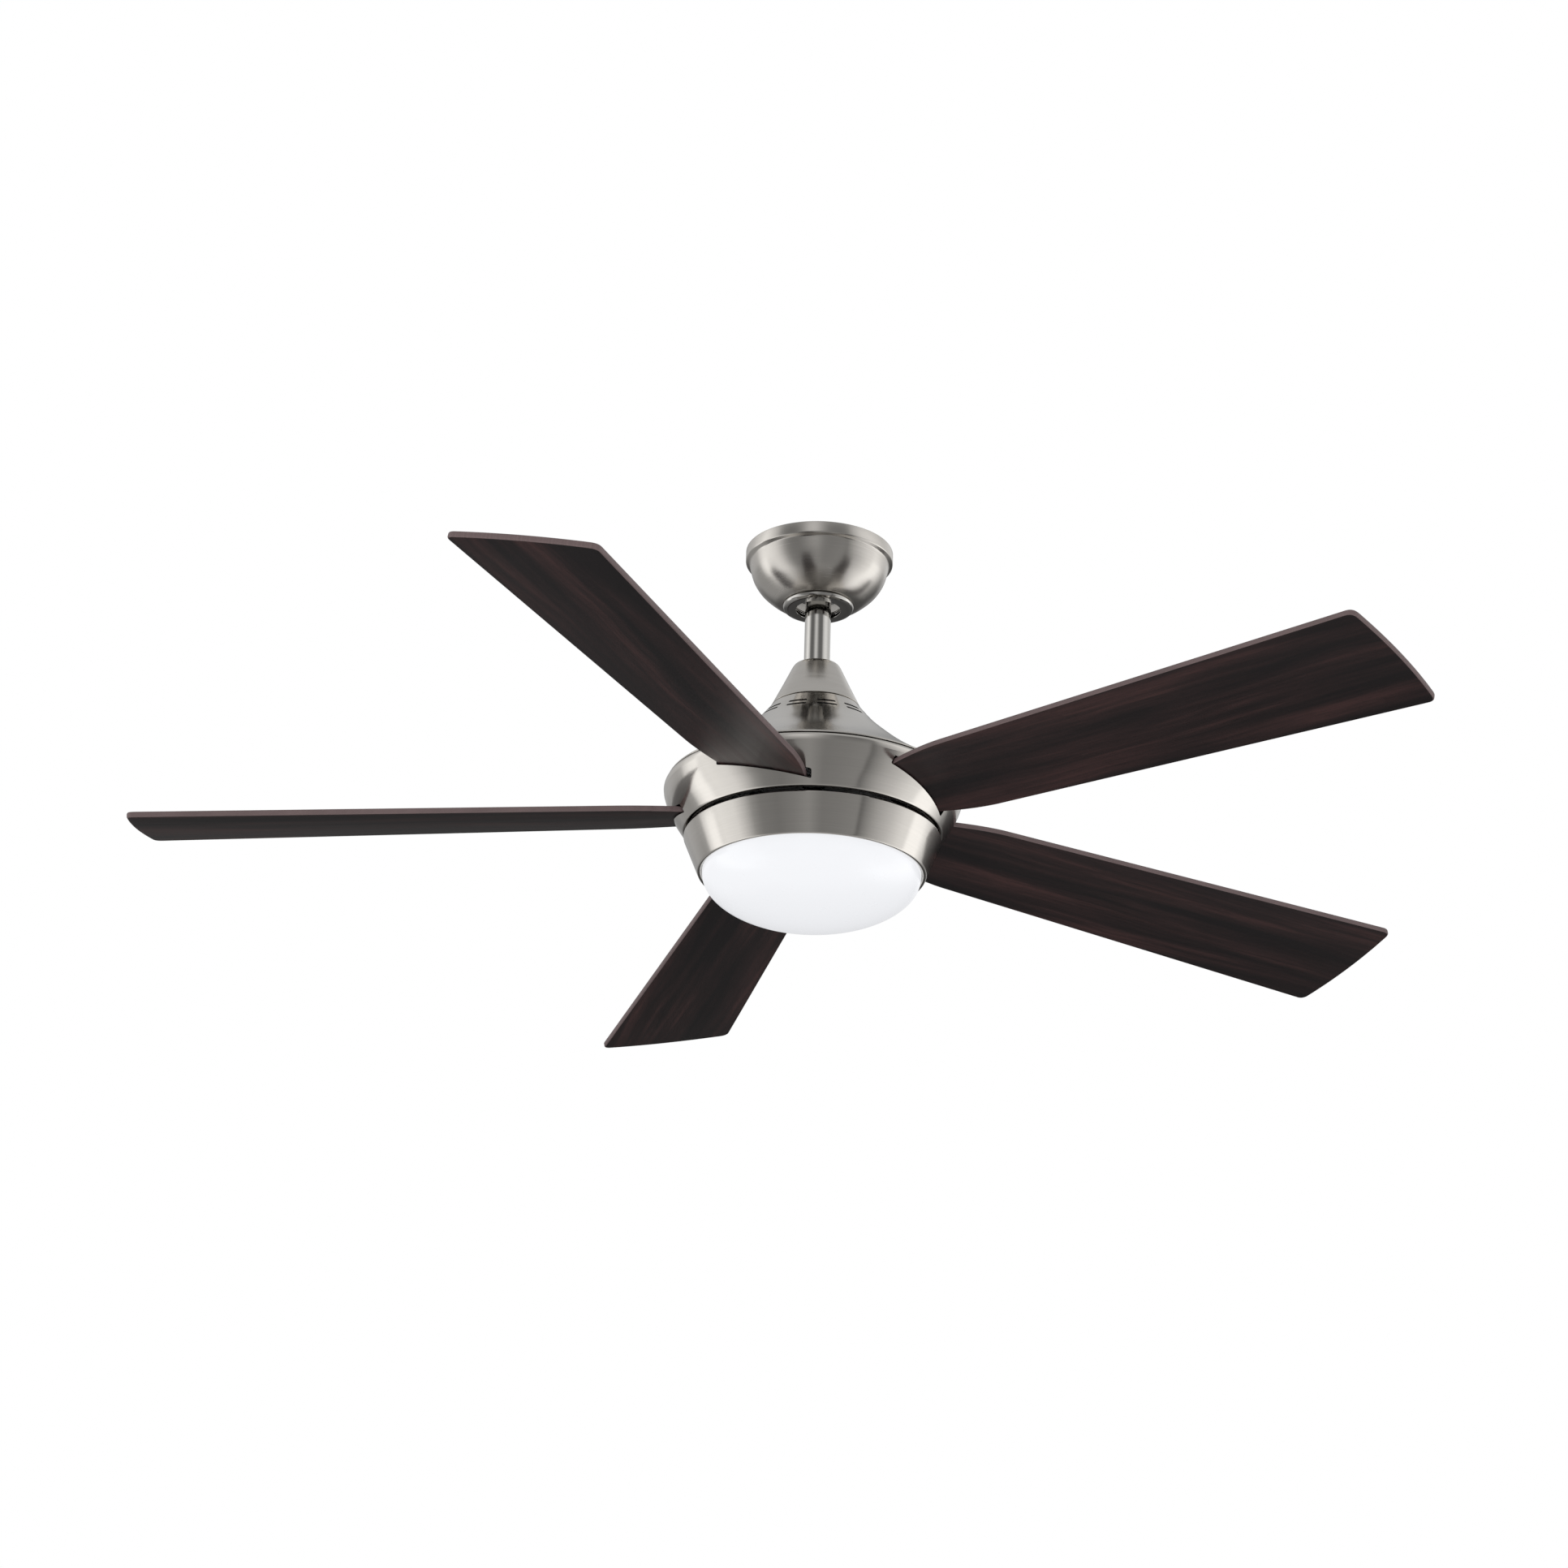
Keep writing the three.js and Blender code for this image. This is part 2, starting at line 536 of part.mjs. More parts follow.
// A foot bolted under the flywheel, a neck, and a pitched plate on top of the blade.
function bladeBracket() {
  const outline = new THREE.Shape();
  outline.moveTo(72, -17);
  outline.lineTo(96, -27);
  outline.lineTo(108, -25);
  outline.quadraticCurveTo(140, 0, 108, 25);
  outline.lineTo(96, 27);
  outline.lineTo(72, 17);
  const pad = plate(outline, BRACKET_LOW, BRACKET_HIGH, BLADE_SCREWS, BLADE_SCREW_R + 2 * GAP);
  const turn = pitchBlade(new THREE.Object3D());
  turn.updateMatrix();
  const footTop = FLYWHEEL_LOW - GAP;
  const foot = box(30, 40, 3.5, 63, 0, footTop - 1.75);
  const neck = box(6, 26, 15.5, 75, 0, footTop - 7.75);
  return join([solid(pad.applyMatrix4(turn.matrix)), foot, neck]);
}

// A plate under the blade root with three screws that go up through blade and bracket.
function bladeClamp() {
  const shape = new THREE.Shape();
  shape.moveTo(93, -23);
  shape.lineTo(104, -23);
  shape.lineTo(125, -4);
  shape.lineTo(125, 4);
  shape.lineTo(104, 23);
  shape.lineTo(93, 23);
  const screws = BLADE_SCREWS.flatMap(([x, y]) => [
    upright(BLADE_SCREW_R, -1, BRACKET_HIGH + 1, x, y, TINY),
    upright(4, -3.6, -1.6, x, y, TINY),
  ]);
  return join([solid(plate(shape, -GAP - 1.6, -GAP)), ...screws]);
}

const blade = solid(plate(bladeOutline(), 0, BLADE_THICK, BLADE_SCREWS, BLADE_SCREW_R + 2 * GAP));
const bracket = bladeBracket();
const clamp = bladeClamp();

spread(BLADE_COUNT, FIRST_BLADE).forEach((angle, i) => {
  const station = new THREE.Group();
  station.rotation.z = rad(angle);
  fan.add(station);
  const pitched = pitchBlade(new THREE.Group());
  station.add(pitched);
  add(`blade_bracket_${i + 1}`, bracket, zincSteel, station);
  add(`blade_${i + 1}`, blade, espresso, pitched);
  add(`blade_clamp_${i + 1}`, clamp, darkSteel, pitched);
});

const DRUM_LINE = [
  [122, DRUM_TOP], [141.6, DRUM_TOP], [143.9, DRUM_TOP - 1.3], [144.5, DRUM_TOP - 3.6],
  ...smooth([[144, -262], [140.4, -273], [133.8, -286], [125.3, -299]], 3),
  [124.2, DRUM_BOTTOM], [119.5, DRUM_BOTTOM],
];
const SLOT_CLEARANCE = 1.3;

// Each blade leaves the drum through a slanted slot a little wider than the blade.
function drumHousing() {
  const width = 94;
  const slots = spread(BLADE_COUNT, FIRST_BLADE).map((angle) => {
    const slab = new THREE.BoxGeometry(60, width, BLADE_THICK + 2 * SLOT_CLEARANCE);
    const turn = pitchBlade(new THREE.Object3D());
    turn.updateMatrix();
    slab.translate(140, 0.6, BLADE_THICK / 2).applyMatrix4(turn.matrix).rotateZ(rad(angle));
    return solid(slab);
  });
  return cut(shell(DRUM_LINE, WALL, LARGE), slots);
}

add('blade_flywheel', bladeFlywheel(), zincSteel);
add('drum_housing', drumHousing(), nickel);

// ---- Light kit ----
const PAN_TOP = -299.8;
const PAN_FLOOR = LIGHT_TOP - 1.5 - GAP;
const POST_CIRCLE = 75;
const BOARD_TOP = -330;
const RETAINER_TOP = -334;
const RETAINER_LOW = -335.5;
const RETAINER_HOLE = GLASS_NECK + 1.3;
const LUG_TIP = 101.9;

function lightPan() {
  const pan = turned([
    [22, PAN_TOP], [50, PAN_TOP], [58, PAN_FLOOR], [121.3, PAN_FLOOR], [121.3, PAN_FLOOR - WALL],
    [57, PAN_FLOOR - WALL], [49, PAN_TOP - WALL], [22, PAN_TOP - WALL],
  ], LARGE);
  const posts = spread(3, 90).map((angle) =>
    upright(4, BOARD_TOP + GAP, PAN_FLOOR - 0.5, ...polar(POST_CIRCLE, angle), TINY));
  return join([pan, ...posts]);
}

const LIGHT_RING_LINE = [
  [117.8, LIGHT_TOP], [123, LIGHT_TOP], [123.9, LIGHT_TOP - 0.9], [110, -340], [109.2, -341.6],
  [107.6, -342.2], [106.2, -341.6], [105.8, -340], [106.4, -338.8], [108.4, -338.4],
  [122.2, LIGHT_TOP - 1.5], [117.8, LIGHT_TOP - 1.5],
];

function lightPlateNut() {
  const hexagon = upright(14.5, -303, PAN_TOP, 0, 0, 6);
  return hexagon.subtract(upright(SHAFT_RADIUS + 2 * GAP, -304, PAN_TOP + 1, 0, 0, SMALL));
}

function ledDriver() {
  const body = box(70, 36, 17, 0, 44, -317.2);
  const ears = box(84, 12, 2, 0, 44, PAN_FLOOR - WALL - GAP - 1.4);
  return body.add(ears);
}

function ledBoard() {
  const disc = upright(86, BOARD_TOP - 1.6, BOARD_TOP, 0, 0, LARGE);
  const chips = [{ radius: 34, count: 8 }, { radius: 66, count: 14 }].flatMap(({ radius, count }) =>
    spread(count).map((angle) => box(5, 5, 2, ...polar(radius, angle), BOARD_TOP - 2)));
  return join([disc, ...chips]);
}

// The wall hangs from the pan, and its foot holds the glass by three lugs.
function glassRetainer() {
  const body = turned([
    [107.8, PAN_FLOOR - WALL - GAP], [109.2, PAN_FLOOR - WALL - GAP], [109.2, RETAINER_LOW],
    [RETAINER_HOLE, RETAINER_LOW], [RETAINER_HOLE, RETAINER_TOP], [107.8, RETAINER_TOP],
  ], LARGE);
  const notches = spread(LUG_COUNT, GLASS_TWIST).map((angle) =>
    arcSlot(LUG_TIP - 2, 3.1, angle - 8, angle + 8, RETAINER_LOW - 1, RETAINER_TOP + 1));
  return cut(body, notches);
}

function ellipse(radius, depth, height, steps) {
  return Array.from({ length: steps + 1 }, (_, i) => {
    const angle = (Math.PI / 2) * (i / steps);
    return [radius * Math.sin(angle), height - depth * Math.cos(angle)];
  });
}

function glassBowl() {
  const outside = ellipse(GLASS_RADIUS, GLASS_DEPTH, GLASS_RIM, 6);
  const inside = ellipse(GLASS_RADIUS - GLASS_WALL, GLASS_DEPTH - GLASS_WALL, GLASS_RIM + 0.6, 6).reverse();
  const neckTop = -330.4;
  const body = turned([
    ...outside, [GLASS_RADIUS, -339.4], [GLASS_NECK, -337.4], [GLASS_NECK, neckTop],
    [GLASS_NECK - 2.5, neckTop], [GLASS_NECK - 2.5, -338.4], ...inside,
  ], LARGE);
  const lugs = spread(LUG_COUNT).map((angle) =>
    arcSlot(LUG_TIP - 2.6, 2.6, angle - 6, angle + 6, RETAINER_TOP + 0.5, RETAINER_TOP + 3));
  return join([body, ...lugs]);
}

add('light_mount_plate', ring(SHAFT_RADIUS + GAP, 55, -299.5, -297, MEDIUM), zincSteel);
add('light_plate_nut', lightPlateNut(), bearingSteel);
add('light_pan', lightPan(), whitePaint);
add('light_ring', turned(LIGHT_RING_LINE, LARGE), nickel);
add('led_driver', ledDriver(), whitePlastic);
add('led_board', ledBoard(), board);
add('glass_retainer', glassRetainer(), whitePaint);
add('glass_bowl', glassBowl(), opalGlass);

export default fan;
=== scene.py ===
import math

import bmesh
import bpy
import numpy as np
from bpy.props import FloatProperty, FloatVectorProperty, IntProperty, PointerProperty
from mathutils import Matrix, Vector


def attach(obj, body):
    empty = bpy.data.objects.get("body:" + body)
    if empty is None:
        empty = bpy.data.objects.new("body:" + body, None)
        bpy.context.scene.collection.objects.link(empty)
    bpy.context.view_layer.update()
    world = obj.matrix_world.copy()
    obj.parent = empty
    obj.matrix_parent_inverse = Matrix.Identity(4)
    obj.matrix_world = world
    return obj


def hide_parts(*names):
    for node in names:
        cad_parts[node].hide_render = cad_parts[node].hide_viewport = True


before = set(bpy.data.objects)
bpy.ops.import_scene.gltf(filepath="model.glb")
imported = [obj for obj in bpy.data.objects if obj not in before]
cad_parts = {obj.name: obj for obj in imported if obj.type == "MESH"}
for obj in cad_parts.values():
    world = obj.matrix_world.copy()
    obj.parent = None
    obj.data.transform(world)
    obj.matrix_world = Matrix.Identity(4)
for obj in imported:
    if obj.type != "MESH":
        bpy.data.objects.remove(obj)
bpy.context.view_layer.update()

bl_info = {
    "name": "Ceiling Fan With Light",
    "version": (1, 0, 0),
    "blender": (4, 5, 0),
    "location": "View3D > Sidebar > Fan",
    "description": "Builds the detailed pieces of a five-blade ceiling fan around its frame",
    "category": "Object",
}

# Lengths in this file are millimetres until a mesh is made, and heights run down from the ceiling.
MM = 0.001
GAP = 0.3
WALL = 1.4
TAU = 2 * math.pi

CANOPY_RADIUS = 72.5
CANOPY_BOTTOM = -56.5
CANOPY_SCREW_X = 28.5
CANOPY_SCREW_HEIGHT = -58.3
TRIM_TOP = -57.1
TRIM_TWIST = 15
BALL_HEIGHT = -34
BALL_RADIUS = 20
BALL_HALF = 14.2
BALL_SCREW_HEIGHT = BALL_HEIGHT + 9
PIN_RADIUS = 3
SCREW_RADIUS = 2
SCREW_HOLE = SCREW_RADIUS + GAP
ROD_RADIUS = 12.7
ROD_BORE = 10.7
ROD_TOP = -17
ROD_BOTTOM = -165.5
CLEVIS_HEIGHT = -145
CLIP_X = 20.8
SET_SCREW_HEIGHT = -136
COVER_TOP = -122.5
COVER_BOTTOM = -168
HOUSING_TOP = -169.3
HOUSING_SCREWS = 26
HOUSING_SCREW_ANGLES = (90, 210, 330)
PLATE_TOP, PLATE_BOTTOM = -160, -180
VENTS = ((-181.2, 53.3), (-186.7, 58.0))
VENT_HIGH = 2.5
VENT_SPAN = 20.0
VENT_COUNT, FIRST_VENT = 12, 15
MOTOR_MIDDLE = -227.5
BEARING_OFFSET = 16.5
BEARING_BALLS, BALL_CIRCLE = 7, 14.1
STACK_HALF = 7.5
DRUM_TOP = -254
DRUM_BOTTOM = -300.3
FLYWHEEL_TOP = -255.7
FLYWHEEL_LOW = -258.5
LIGHT_TOP = -305
PAN_FLOOR = -306.8
GLASS_RIM = -342
GLASS_RADIUS = 104.9
GLASS_DEPTH = 46
GLASS_WALL = 3

BLADES = 5
FIRST_BLADE = 180
BLADE_PITCH = 12.9
BLADE_DROOP = 1.0
BLADE_PLANE = -281
BLADE_THICK = 5.5
BLADE_SCREWS = ((99, -17), (99, 17), (119, 0))
BLADE_STEP = 360 / BLADES
GRAIN_SHIFT = (0.9, 0.37)
FLAT_FACE = 0.96
MOUTH_HALF, MOUTH_REACH = 47, (110, 170)

LUG_ANGLES = (0, 120, 240)
NOTCH_ANGLES = (20, 140, 260)
CHIP_CIRCLES = ((34, 8), (66, 14))
PAN_SCREWS, PAN_SCREW_ANGLES = 40, (30, 150, 270)
SMOOTH_ANGLE = 32


# ---- Properties a user may change ----
def colour(name, description, default):
    return FloatVectorProperty(name=name, description=description, default=default,
                               subtype="COLOR", size=3, min=0, max=1)


def share(name, description, default):
    return FloatProperty(name=name, description=description, default=default,
                         subtype="FACTOR", min=0, max=1)


class FanDetail(bpy.types.PropertyGroup):
    segments: IntProperty(name="Segments", description="Steps round each large turned piece",
                          default=192, min=24, max=512)
    small_segments: IntProperty(name="Small segments", description="Steps round rods and screws",
                                default=48, min=12, max=128)
    edge_radius: FloatProperty(name="Edge radius", description="Rounding of the blades' edges",
                               default=1.6 * MM, unit="LENGTH", min=0.2 * MM, max=2.5 * MM)
    bevel: FloatProperty(name="Bevel", description="Rounding of the edges of stamped inner pieces",
                         default=0.35 * MM, unit="LENGTH", min=0.05 * MM, max=MM)


class FanFinish(bpy.types.PropertyGroup):
    nickel: colour("Nickel", "Brushed nickel of the shells", (0.52, 0.497, 0.465))
    nickel_roughness: share("Nickel roughness", "Gloss of the brushed shells", 0.13)
    bright: colour("Bright nickel", "Polished nickel of the rod and trim", (0.48, 0.468, 0.447))
    bright_roughness: share("Bright roughness", "Gloss of the rod and trim", 0.09)
    wood: colour("Wood", "Dark stain of the blades", (0.008, 0.0054, 0.006))
    wood_streak: colour("Wood streak", "Warm streaks in the blades", (0.05, 0.021, 0.02))
    # Partly painted light: the edge colour is lighter partly for the band's own tone and partly as
    # a painted highlight on the rounded edges.
    wood_edge_and_highlight: colour("Wood edge", "Edge band of the blades", (0.14, 0.1, 0.1))
    glass: colour("Glass", "Opal glass of the bowl", (0.15, 0.152, 0.158))
    # Painted light: the glass's emission, a glow that stands in for the studio light falling on it.
    glass_painted_glow: share("Glass glow", "Light that the opal glass passes on", 0.79)


class FanStage(bpy.types.PropertyGroup):
    floor: colour("Floor", "Plain studio floor", (0.86, 0.86, 0.85))
    floor_height: FloatProperty(name="Floor height", default=-2.6,
                                description="Height of the floor below the ceiling",
                                unit="LENGTH", min=-6, max=-1)
    key_power: FloatProperty(name="Key light", description="Power of the soft key light",
                             default=26, unit="POWER", min=0, max=500)
    fill_power: FloatProperty(name="Fill light", description="Power of the soft fill light",
                              default=14, unit="POWER", min=0, max=500)


def detail():
    return bpy.context.scene.fan_detail


def finishes():
    return bpy.context.scene.fan_finish


# ---- Profiles and surfaces, worked out as whole arrays ----
def line(points, corner=0.4):
    """Points of a profile, each with the reach of its rounded corner."""
    return [(r, z, corner) for r, z in points]


def spline(points, steps):
    """Catmull-Rom curve: between two points, the cubic whose slope at each end is half the way
    from the point before to the point after. Its points have no rounded corners."""
    p = np.asarray(points, float)
    t = np.linspace(0, len(p) - 1, steps + 1)
    i = np.minimum(t.astype(int), len(p) - 2)
    w = (t - i)[:, None]
    a, b, c, d = (p[np.clip(i + k, 0, len(p) - 1)] for k in (-1, 0, 1, 2))
    curve = b + 0.5 * w * ((c - a)
                           + w * ((2 * a - 5 * b + 4 * c - d) + w * (3 * b - a - 3 * c + d)))
    return [(*point, 0) for point in curve]


def bezier(start, control, end, steps=8):
    """Quadratic curve: (1 - t)^2 start + 2 t (1 - t) control + t^2 end, without its start."""
    t = np.linspace(0, 1, steps + 1)[1:, None]
    s, c, e = (np.asarray(p, float) for p in (start, control, end))
    return (1 - t) ** 2 * s + 2 * t * (1 - t) * c + t ** 2 * e


def rounded(profile, closed=True, steps=3):
    """Each corner with a reach becomes a parabola that leaves the side before it and joins the side
    after it at that reach, or at 0.4 of the shorter side where that is less."""
    profile = np.asarray(profile, float)
    p, reach = profile[:, :2], profile[:, 2]
    into, away = np.roll(p, 1, 0) - p, np.roll(p, -1, 0) - p
    before, after = np.linalg.norm(into, axis=1), np.linalg.norm(away, axis=1)
    reach = np.minimum(reach, 0.4 * np.minimum(before, after))
    if not closed:
        reach[[0, -1]] = 0
    start = p + into * (reach / before)[:, None]
    end = p + away * (reach / after)[:, None]
    t = np.linspace(0, 1, steps + 1)[None, :, None]
    curve = (1 - t) ** 2 * start[:, None] + 2 * t * (1 - t) * p[:, None] + t ** 2 * end[:, None]
    curve = curve.reshape(-1, 2)
    kept = np.linalg.norm(curve - np.roll(curve, 1, 0), axis=1) > 1e-5
    kept[0] |= not closed
    return curve[kept]


def offset(points, distance, closed=False):
    """Each point moves to the right of the way the line runs, along the mitre of its two sides."""
    if closed:
        sides = np.roll(points, -1, 0) - points
        away = sides / np.linalg.norm(sides, axis=1)[:, None]
        into = np.roll(away, 1, 0)
    else:
        sides = np.diff(points, axis=0)
        unit = sides / np.linalg.norm(sides, axis=1)[:, None]
        into, away = np.vstack([unit[:1], unit]), np.vstack([unit, unit[-1:]])
    along = into + away
    along /= np.linalg.norm(along, axis=1)[:, None]
    mitre = distance / np.maximum((along * into).sum(1), 0.5)
    return points + np.stack([along[:, 1], -along[:, 0]], 1) * mitre[:, None]


def sheet_profile(outer, wall=WALL):
    """The outer line, and back along the same line offset by the wall, with rounded corners."""
    outer = np.asarray(outer, float)
    inner = np.column_stack([offset(outer[:, :2], wall), outer[:, 2] * 0.6])
    return rounded(np.vstack([outer, inner[::-1]]))


def skin(sections, ends="caps"):
    """Closed loops joined in order: points i and i + 1 of one loop and of the next make a face.
    ends is wrap where the last loop joins the first, caps where a flat face closes each end, and
    poles where both end loops have shrunk to a point."""
    count, around, _ = sections.shape
    grid = np.arange(count * around).reshape(count, around)
    if ends == "wrap":
        grid = np.vstack([grid, grid[:1]])
    beside = np.roll(grid, -1, 1)
    faces = np.stack([grid[:-1], beside[:-1], beside[1:], grid[1:]], -1).reshape(-1, 4).tolist()
    if ends == "caps":
        faces += [grid[0][::-1].tolist(), grid[-1].tolist()]
    return sections.reshape(-1, 3), faces


def turned(profile, segments=None):
    """Point (r, z) of the profile at angle a sits at (r cos a, r sin a, z). A profile that starts
    and ends on the axis is closed by its poles, and any other by joining its ends."""
    profile = np.asarray(profile, float)[:, :2]
    angle = np.linspace(0, TAU, segments or detail().segments, endpoint=False)
    r, z = profile[:, :1], profile[:, 1:]
    circles = np.stack([r * np.cos(angle), r * np.sin(angle), z + 0 * angle], -1)
    on_axis = profile[0, 0] == 0 and profile[-1, 0] == 0
    return skin(circles, "poles" if on_axis else "wrap")


def revolved(points, corner=0.4, segments=None):
    """A closed profile of rounded corners, turned about the axis."""
    return turned(rounded(line(points, corner)), segments)


def prism(outline, levels):
    """The outline, pairs of x and y, repeated at each level: (inset, height)."""
    outline = np.asarray(outline, float)[:, :2]
    loops = [np.column_stack([offset(outline, -inset, closed=True), np.full(len(outline), height)])
             for inset, height in levels]
    return skin(np.array(loops))


def rod(radius, low, high, corner=0.3, sides=None):
    """A cylinder about Z with rounded rims."""
    corner = min(corner, 0.4 * radius)
    t = np.linspace(0, math.pi / 2, 4)
    r = np.concatenate([radius - corner + corner * np.sin(t), radius - corner + corner * np.cos(t)])
    z = np.concatenate([low + corner - corner * np.cos(t), high - corner + corner * np.sin(t)])
    angle = np.linspace(0, TAU, sides or detail().small_segments, endpoint=False)
    loops = np.stack([r[:, None] * np.cos(angle), r[:, None] * np.sin(angle),
                      z[:, None] + 0 * angle], -1)
    return skin(loops)


def ball(radius, centre=(0, 0, 0), rings=24):
    """Latitude b and longitude a give radius (cos b cos a, cos b sin a, sin b)."""
    b = np.linspace(-math.pi / 2, math.pi / 2, rings + 1)
    r = radius * np.cos(b)
    r[[0, -1]] = 0
    return moved(turned(np.column_stack([r, radius * np.sin(b)]), 2 * rings), at(*centre))


def slab(wide, deep, high, corner=0.6):
    """A block about the origin with rounded upright edges and small chamfers."""
    x, y = wide / 2, deep / 2
    outline = rounded([(-x, -y, corner), (x, -y, corner), (x, y, corner), (-x, y, corner)])
    edge = min(0.4, high / 4)
    return prism(outline,
                 [(edge, -high / 2), (0, edge - high / 2), (0, high / 2 - edge), (edge, high / 2)])


def tube(path, radius, sides=20):
    """A round section carried along a path that keeps to one x: at each point it spans the x axis
    and the axis square to x and to the way the path runs."""
    path = np.asarray(path, float)
    run = np.gradient(path, axis=0)
    run /= np.linalg.norm(run, axis=1)[:, None]
    across = np.cross(run, (1, 0, 0))
    angle = np.linspace(0, TAU, sides, endpoint=False)[None, :, None]
    circles = np.cos(angle) * np.array((1, 0, 0)) + np.sin(angle) * across[:, None]
    return skin(path[:, None] + radius * circles)


def at(x=0, y=0, z=0):
    return Matrix.Translation((x, y, z))


def spun(degrees, axis="Z"):
    return Matrix.Rotation(math.radians(degrees), 4, axis)


def moved(shape, *matrices):
    """The shape after the matrices, the last of them first."""
    whole = np.eye(4)
    for matrix in matrices:
        whole = whole @ np.array(matrix)
    return shape[0] @ whole[:3, :3].T + whole[:3, 3], shape[1]


def together(*shapes):
    """Several shapes as one."""
    starts = np.cumsum([0] + [len(points) for points, _ in shapes])
    faces = [[start + v for v in face] for (_, fs), start in zip(shapes, starts) for face in fs]
    return np.vstack([points for points, _ in shapes]), faces


def spread(shape, count, first=0.0):
    """The shape repeated round the axis."""
    return together(*(moved(shape, spun(first + 360 / count * i)) for i in range(count)))


def mesh_of(shape, name="shape"):
    """A mesh in metres, with doubled points merged and its faces outwards."""
    mesh = bpy.data.meshes.new(name)
    mesh.from_pydata((shape[0] * MM).tolist(), [], shape[1])
    work = bmesh.new()
    work.from_mesh(mesh)
    bmesh.ops.remove_doubles(work, verts=work.verts, dist=1e-7)
    bmesh.ops.dissolve_degenerate(work, edges=work.edges, dist=1e-8)
    bmesh.ops.recalc_face_normals(work, faces=work.faces)
    work.to_mesh(mesh)
    work.free()
    return mesh


def object_of(mesh, name):
    made = bpy.data.objects.new(name, mesh)
    bpy.context.scene.collection.objects.link(made)
    return made


def baked(obj):
    """The object's mesh with its modifiers in it."""
    bpy.context.view_layer.update()
    seen = obj.evaluated_get(bpy.context.evaluated_depsgraph_get())
    return bpy.data.meshes.new_from_object(seen)


def shape_of(mesh):
    points = np.zeros(len(mesh.vertices) * 3)
    mesh.vertices.foreach_get("co", points)
    corners = np.zeros(len(mesh.loops), int)
    mesh.loops.foreach_get("vertex_index", corners)
    starts = np.zeros(len(mesh.polygons), int)
    mesh.polygons.foreach_get("loop_start", starts)
    return points.reshape(-1, 3) / MM, [face.tolist() for face in np.split(corners, starts[1:])]


def carved(shape, *cutters, how="DIFFERENCE"):
    """The shape with each cutter taken from it, or joined or kept in common with it."""
    whole = object_of(mesh_of(shape), "whole")
    tools = [object_of(mesh_of(cutter), "tool") for cutter in cutters]
    for tool in tools:
        step = whole.modifiers.new("cut", "BOOLEAN")
        step.operation, step.solver, step.object = how, "EXACT", tool
    result = shape_of(baked(whole))
    for obj in (whole, *tools):
        bpy.data.objects.remove(obj)
    return result


def piece(name, shape, slot, body="hanging", finish=None, nodes=(), angle=SMOOTH_ANGLE):
    """An object of the shape that rides on a body and stands for nodes. Its look is its slot's own
    finish, unless another is given."""
    mesh = shape if isinstance(shape, bpy.types.Mesh) else mesh_of(shape, name)
    mesh.name = name
    made = object_of(mesh, name)
    mesh.shade_smooth()
    mesh.set_sharp_from_angle(angle=math.radians(angle))
    if not mesh.materials:
        mesh.materials.append(finish or SLOT_FINISHES[slot]())
    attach(made, body)
    if nodes:
        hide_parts(*nodes)
    return made


def refined(node, width=None):
    """The node's own solid, with its flat faces whole and its sharp edges rounded."""
    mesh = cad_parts[node].data.copy()
    mesh.materials.clear()
    work = bmesh.new()
    work.from_mesh(mesh)
    bmesh.ops.remove_doubles(work, verts=work.verts, dist=2e-6)
    bmesh.ops.dissolve_limit(work, angle_limit=math.radians(1), verts=work.verts, edges=work.edges)
    for edge in work.edges:
        edge.smooth = True
    work.to_mesh(mesh)
    work.free()
    whole = object_of(mesh, "whole")
    edges = whole.modifiers.new("edges", "BEVEL")
    edges.width = width or detail().bevel
    edges.segments = 2
    edges.limit_method = "ANGLE"
    edges.angle_limit = math.radians(35)
    result = shape_of(baked(whole))
    bpy.data.objects.remove(whole)
    return result


def stand_in(name, shape, slot, body="hanging", finish=None, angle=SMOOTH_ANGLE):
    """A piece that stands for the node of that name."""
    return piece(f"{name}_piece", shape, slot, body, finish, (name,), angle)


# ---- Finishes ----
# A Mix node has sockets for numbers, vectors and colours: these are the places of the colours'.
MIX_FIRST, MIX_SECOND, MIX_RESULT = 6, 7, 2
# Scale of the brush's noise per metre: along the turns, where it is drawn out, and across them.
GRAIN_ROUND, GRAIN_ACROSS = 14, 900


def put(tree, made, inputs):
    """Gives a node's inputs their values, or links them to sockets."""
    for key, value in inputs.items():
        if isinstance(value, bpy.types.NodeSocket):
            tree.links.new(value, made.inputs[key])
        elif isinstance(value, tuple) and made.inputs[key].type == "RGBA":
            made.inputs[key].default_value = (*value, 1)
        else:
            made.inputs[key].default_value = value


def node(tree, kind, inputs=None, **settings):
    """A new node. Its inputs are values, or sockets to link."""
    made = tree.nodes.new(kind)
    for key, value in settings.items():
        setattr(made, key, value)
    put(tree, made, inputs or {})
    return made


def maths(tree, operation, first, second=0.0, third=0.0):
    return node(tree, "ShaderNodeMath", {0: first, 1: second, 2: third},
                operation=operation).outputs[0]


def ramp(tree, factor, stops):
    """A ramp through (place, brightness) stops."""
    made = node(tree, "ShaderNodeValToRGB", {"Fac": factor})
    elements = made.color_ramp.elements
    while len(elements) < len(stops):
        elements.new(0.5)
    for element, (place, value) in zip(elements, stops):
        element.position = place
        element.color = (value, value, value, 1)
    return made.outputs["Color"]


def between(tree, factor, first, second):
    """A mix of two colours."""
    return node(tree, "ShaderNodeMix", {"Factor": factor, MIX_FIRST: first, MIX_SECOND: second},
                data_type="RGBA").outputs[MIX_RESULT]


def tinted(colour, factor):
    """The colour made darker or lighter by the factor."""
    return tuple(min(1, factor * c) for c in colour)


def noise(tree, vector, scale, detail_level=4.0, roughness=0.55):
    return node(tree, "ShaderNodeTexNoise",
                {"Vector": vector, "Scale": scale, "Detail": detail_level,
                 "Roughness": roughness}).outputs[0]


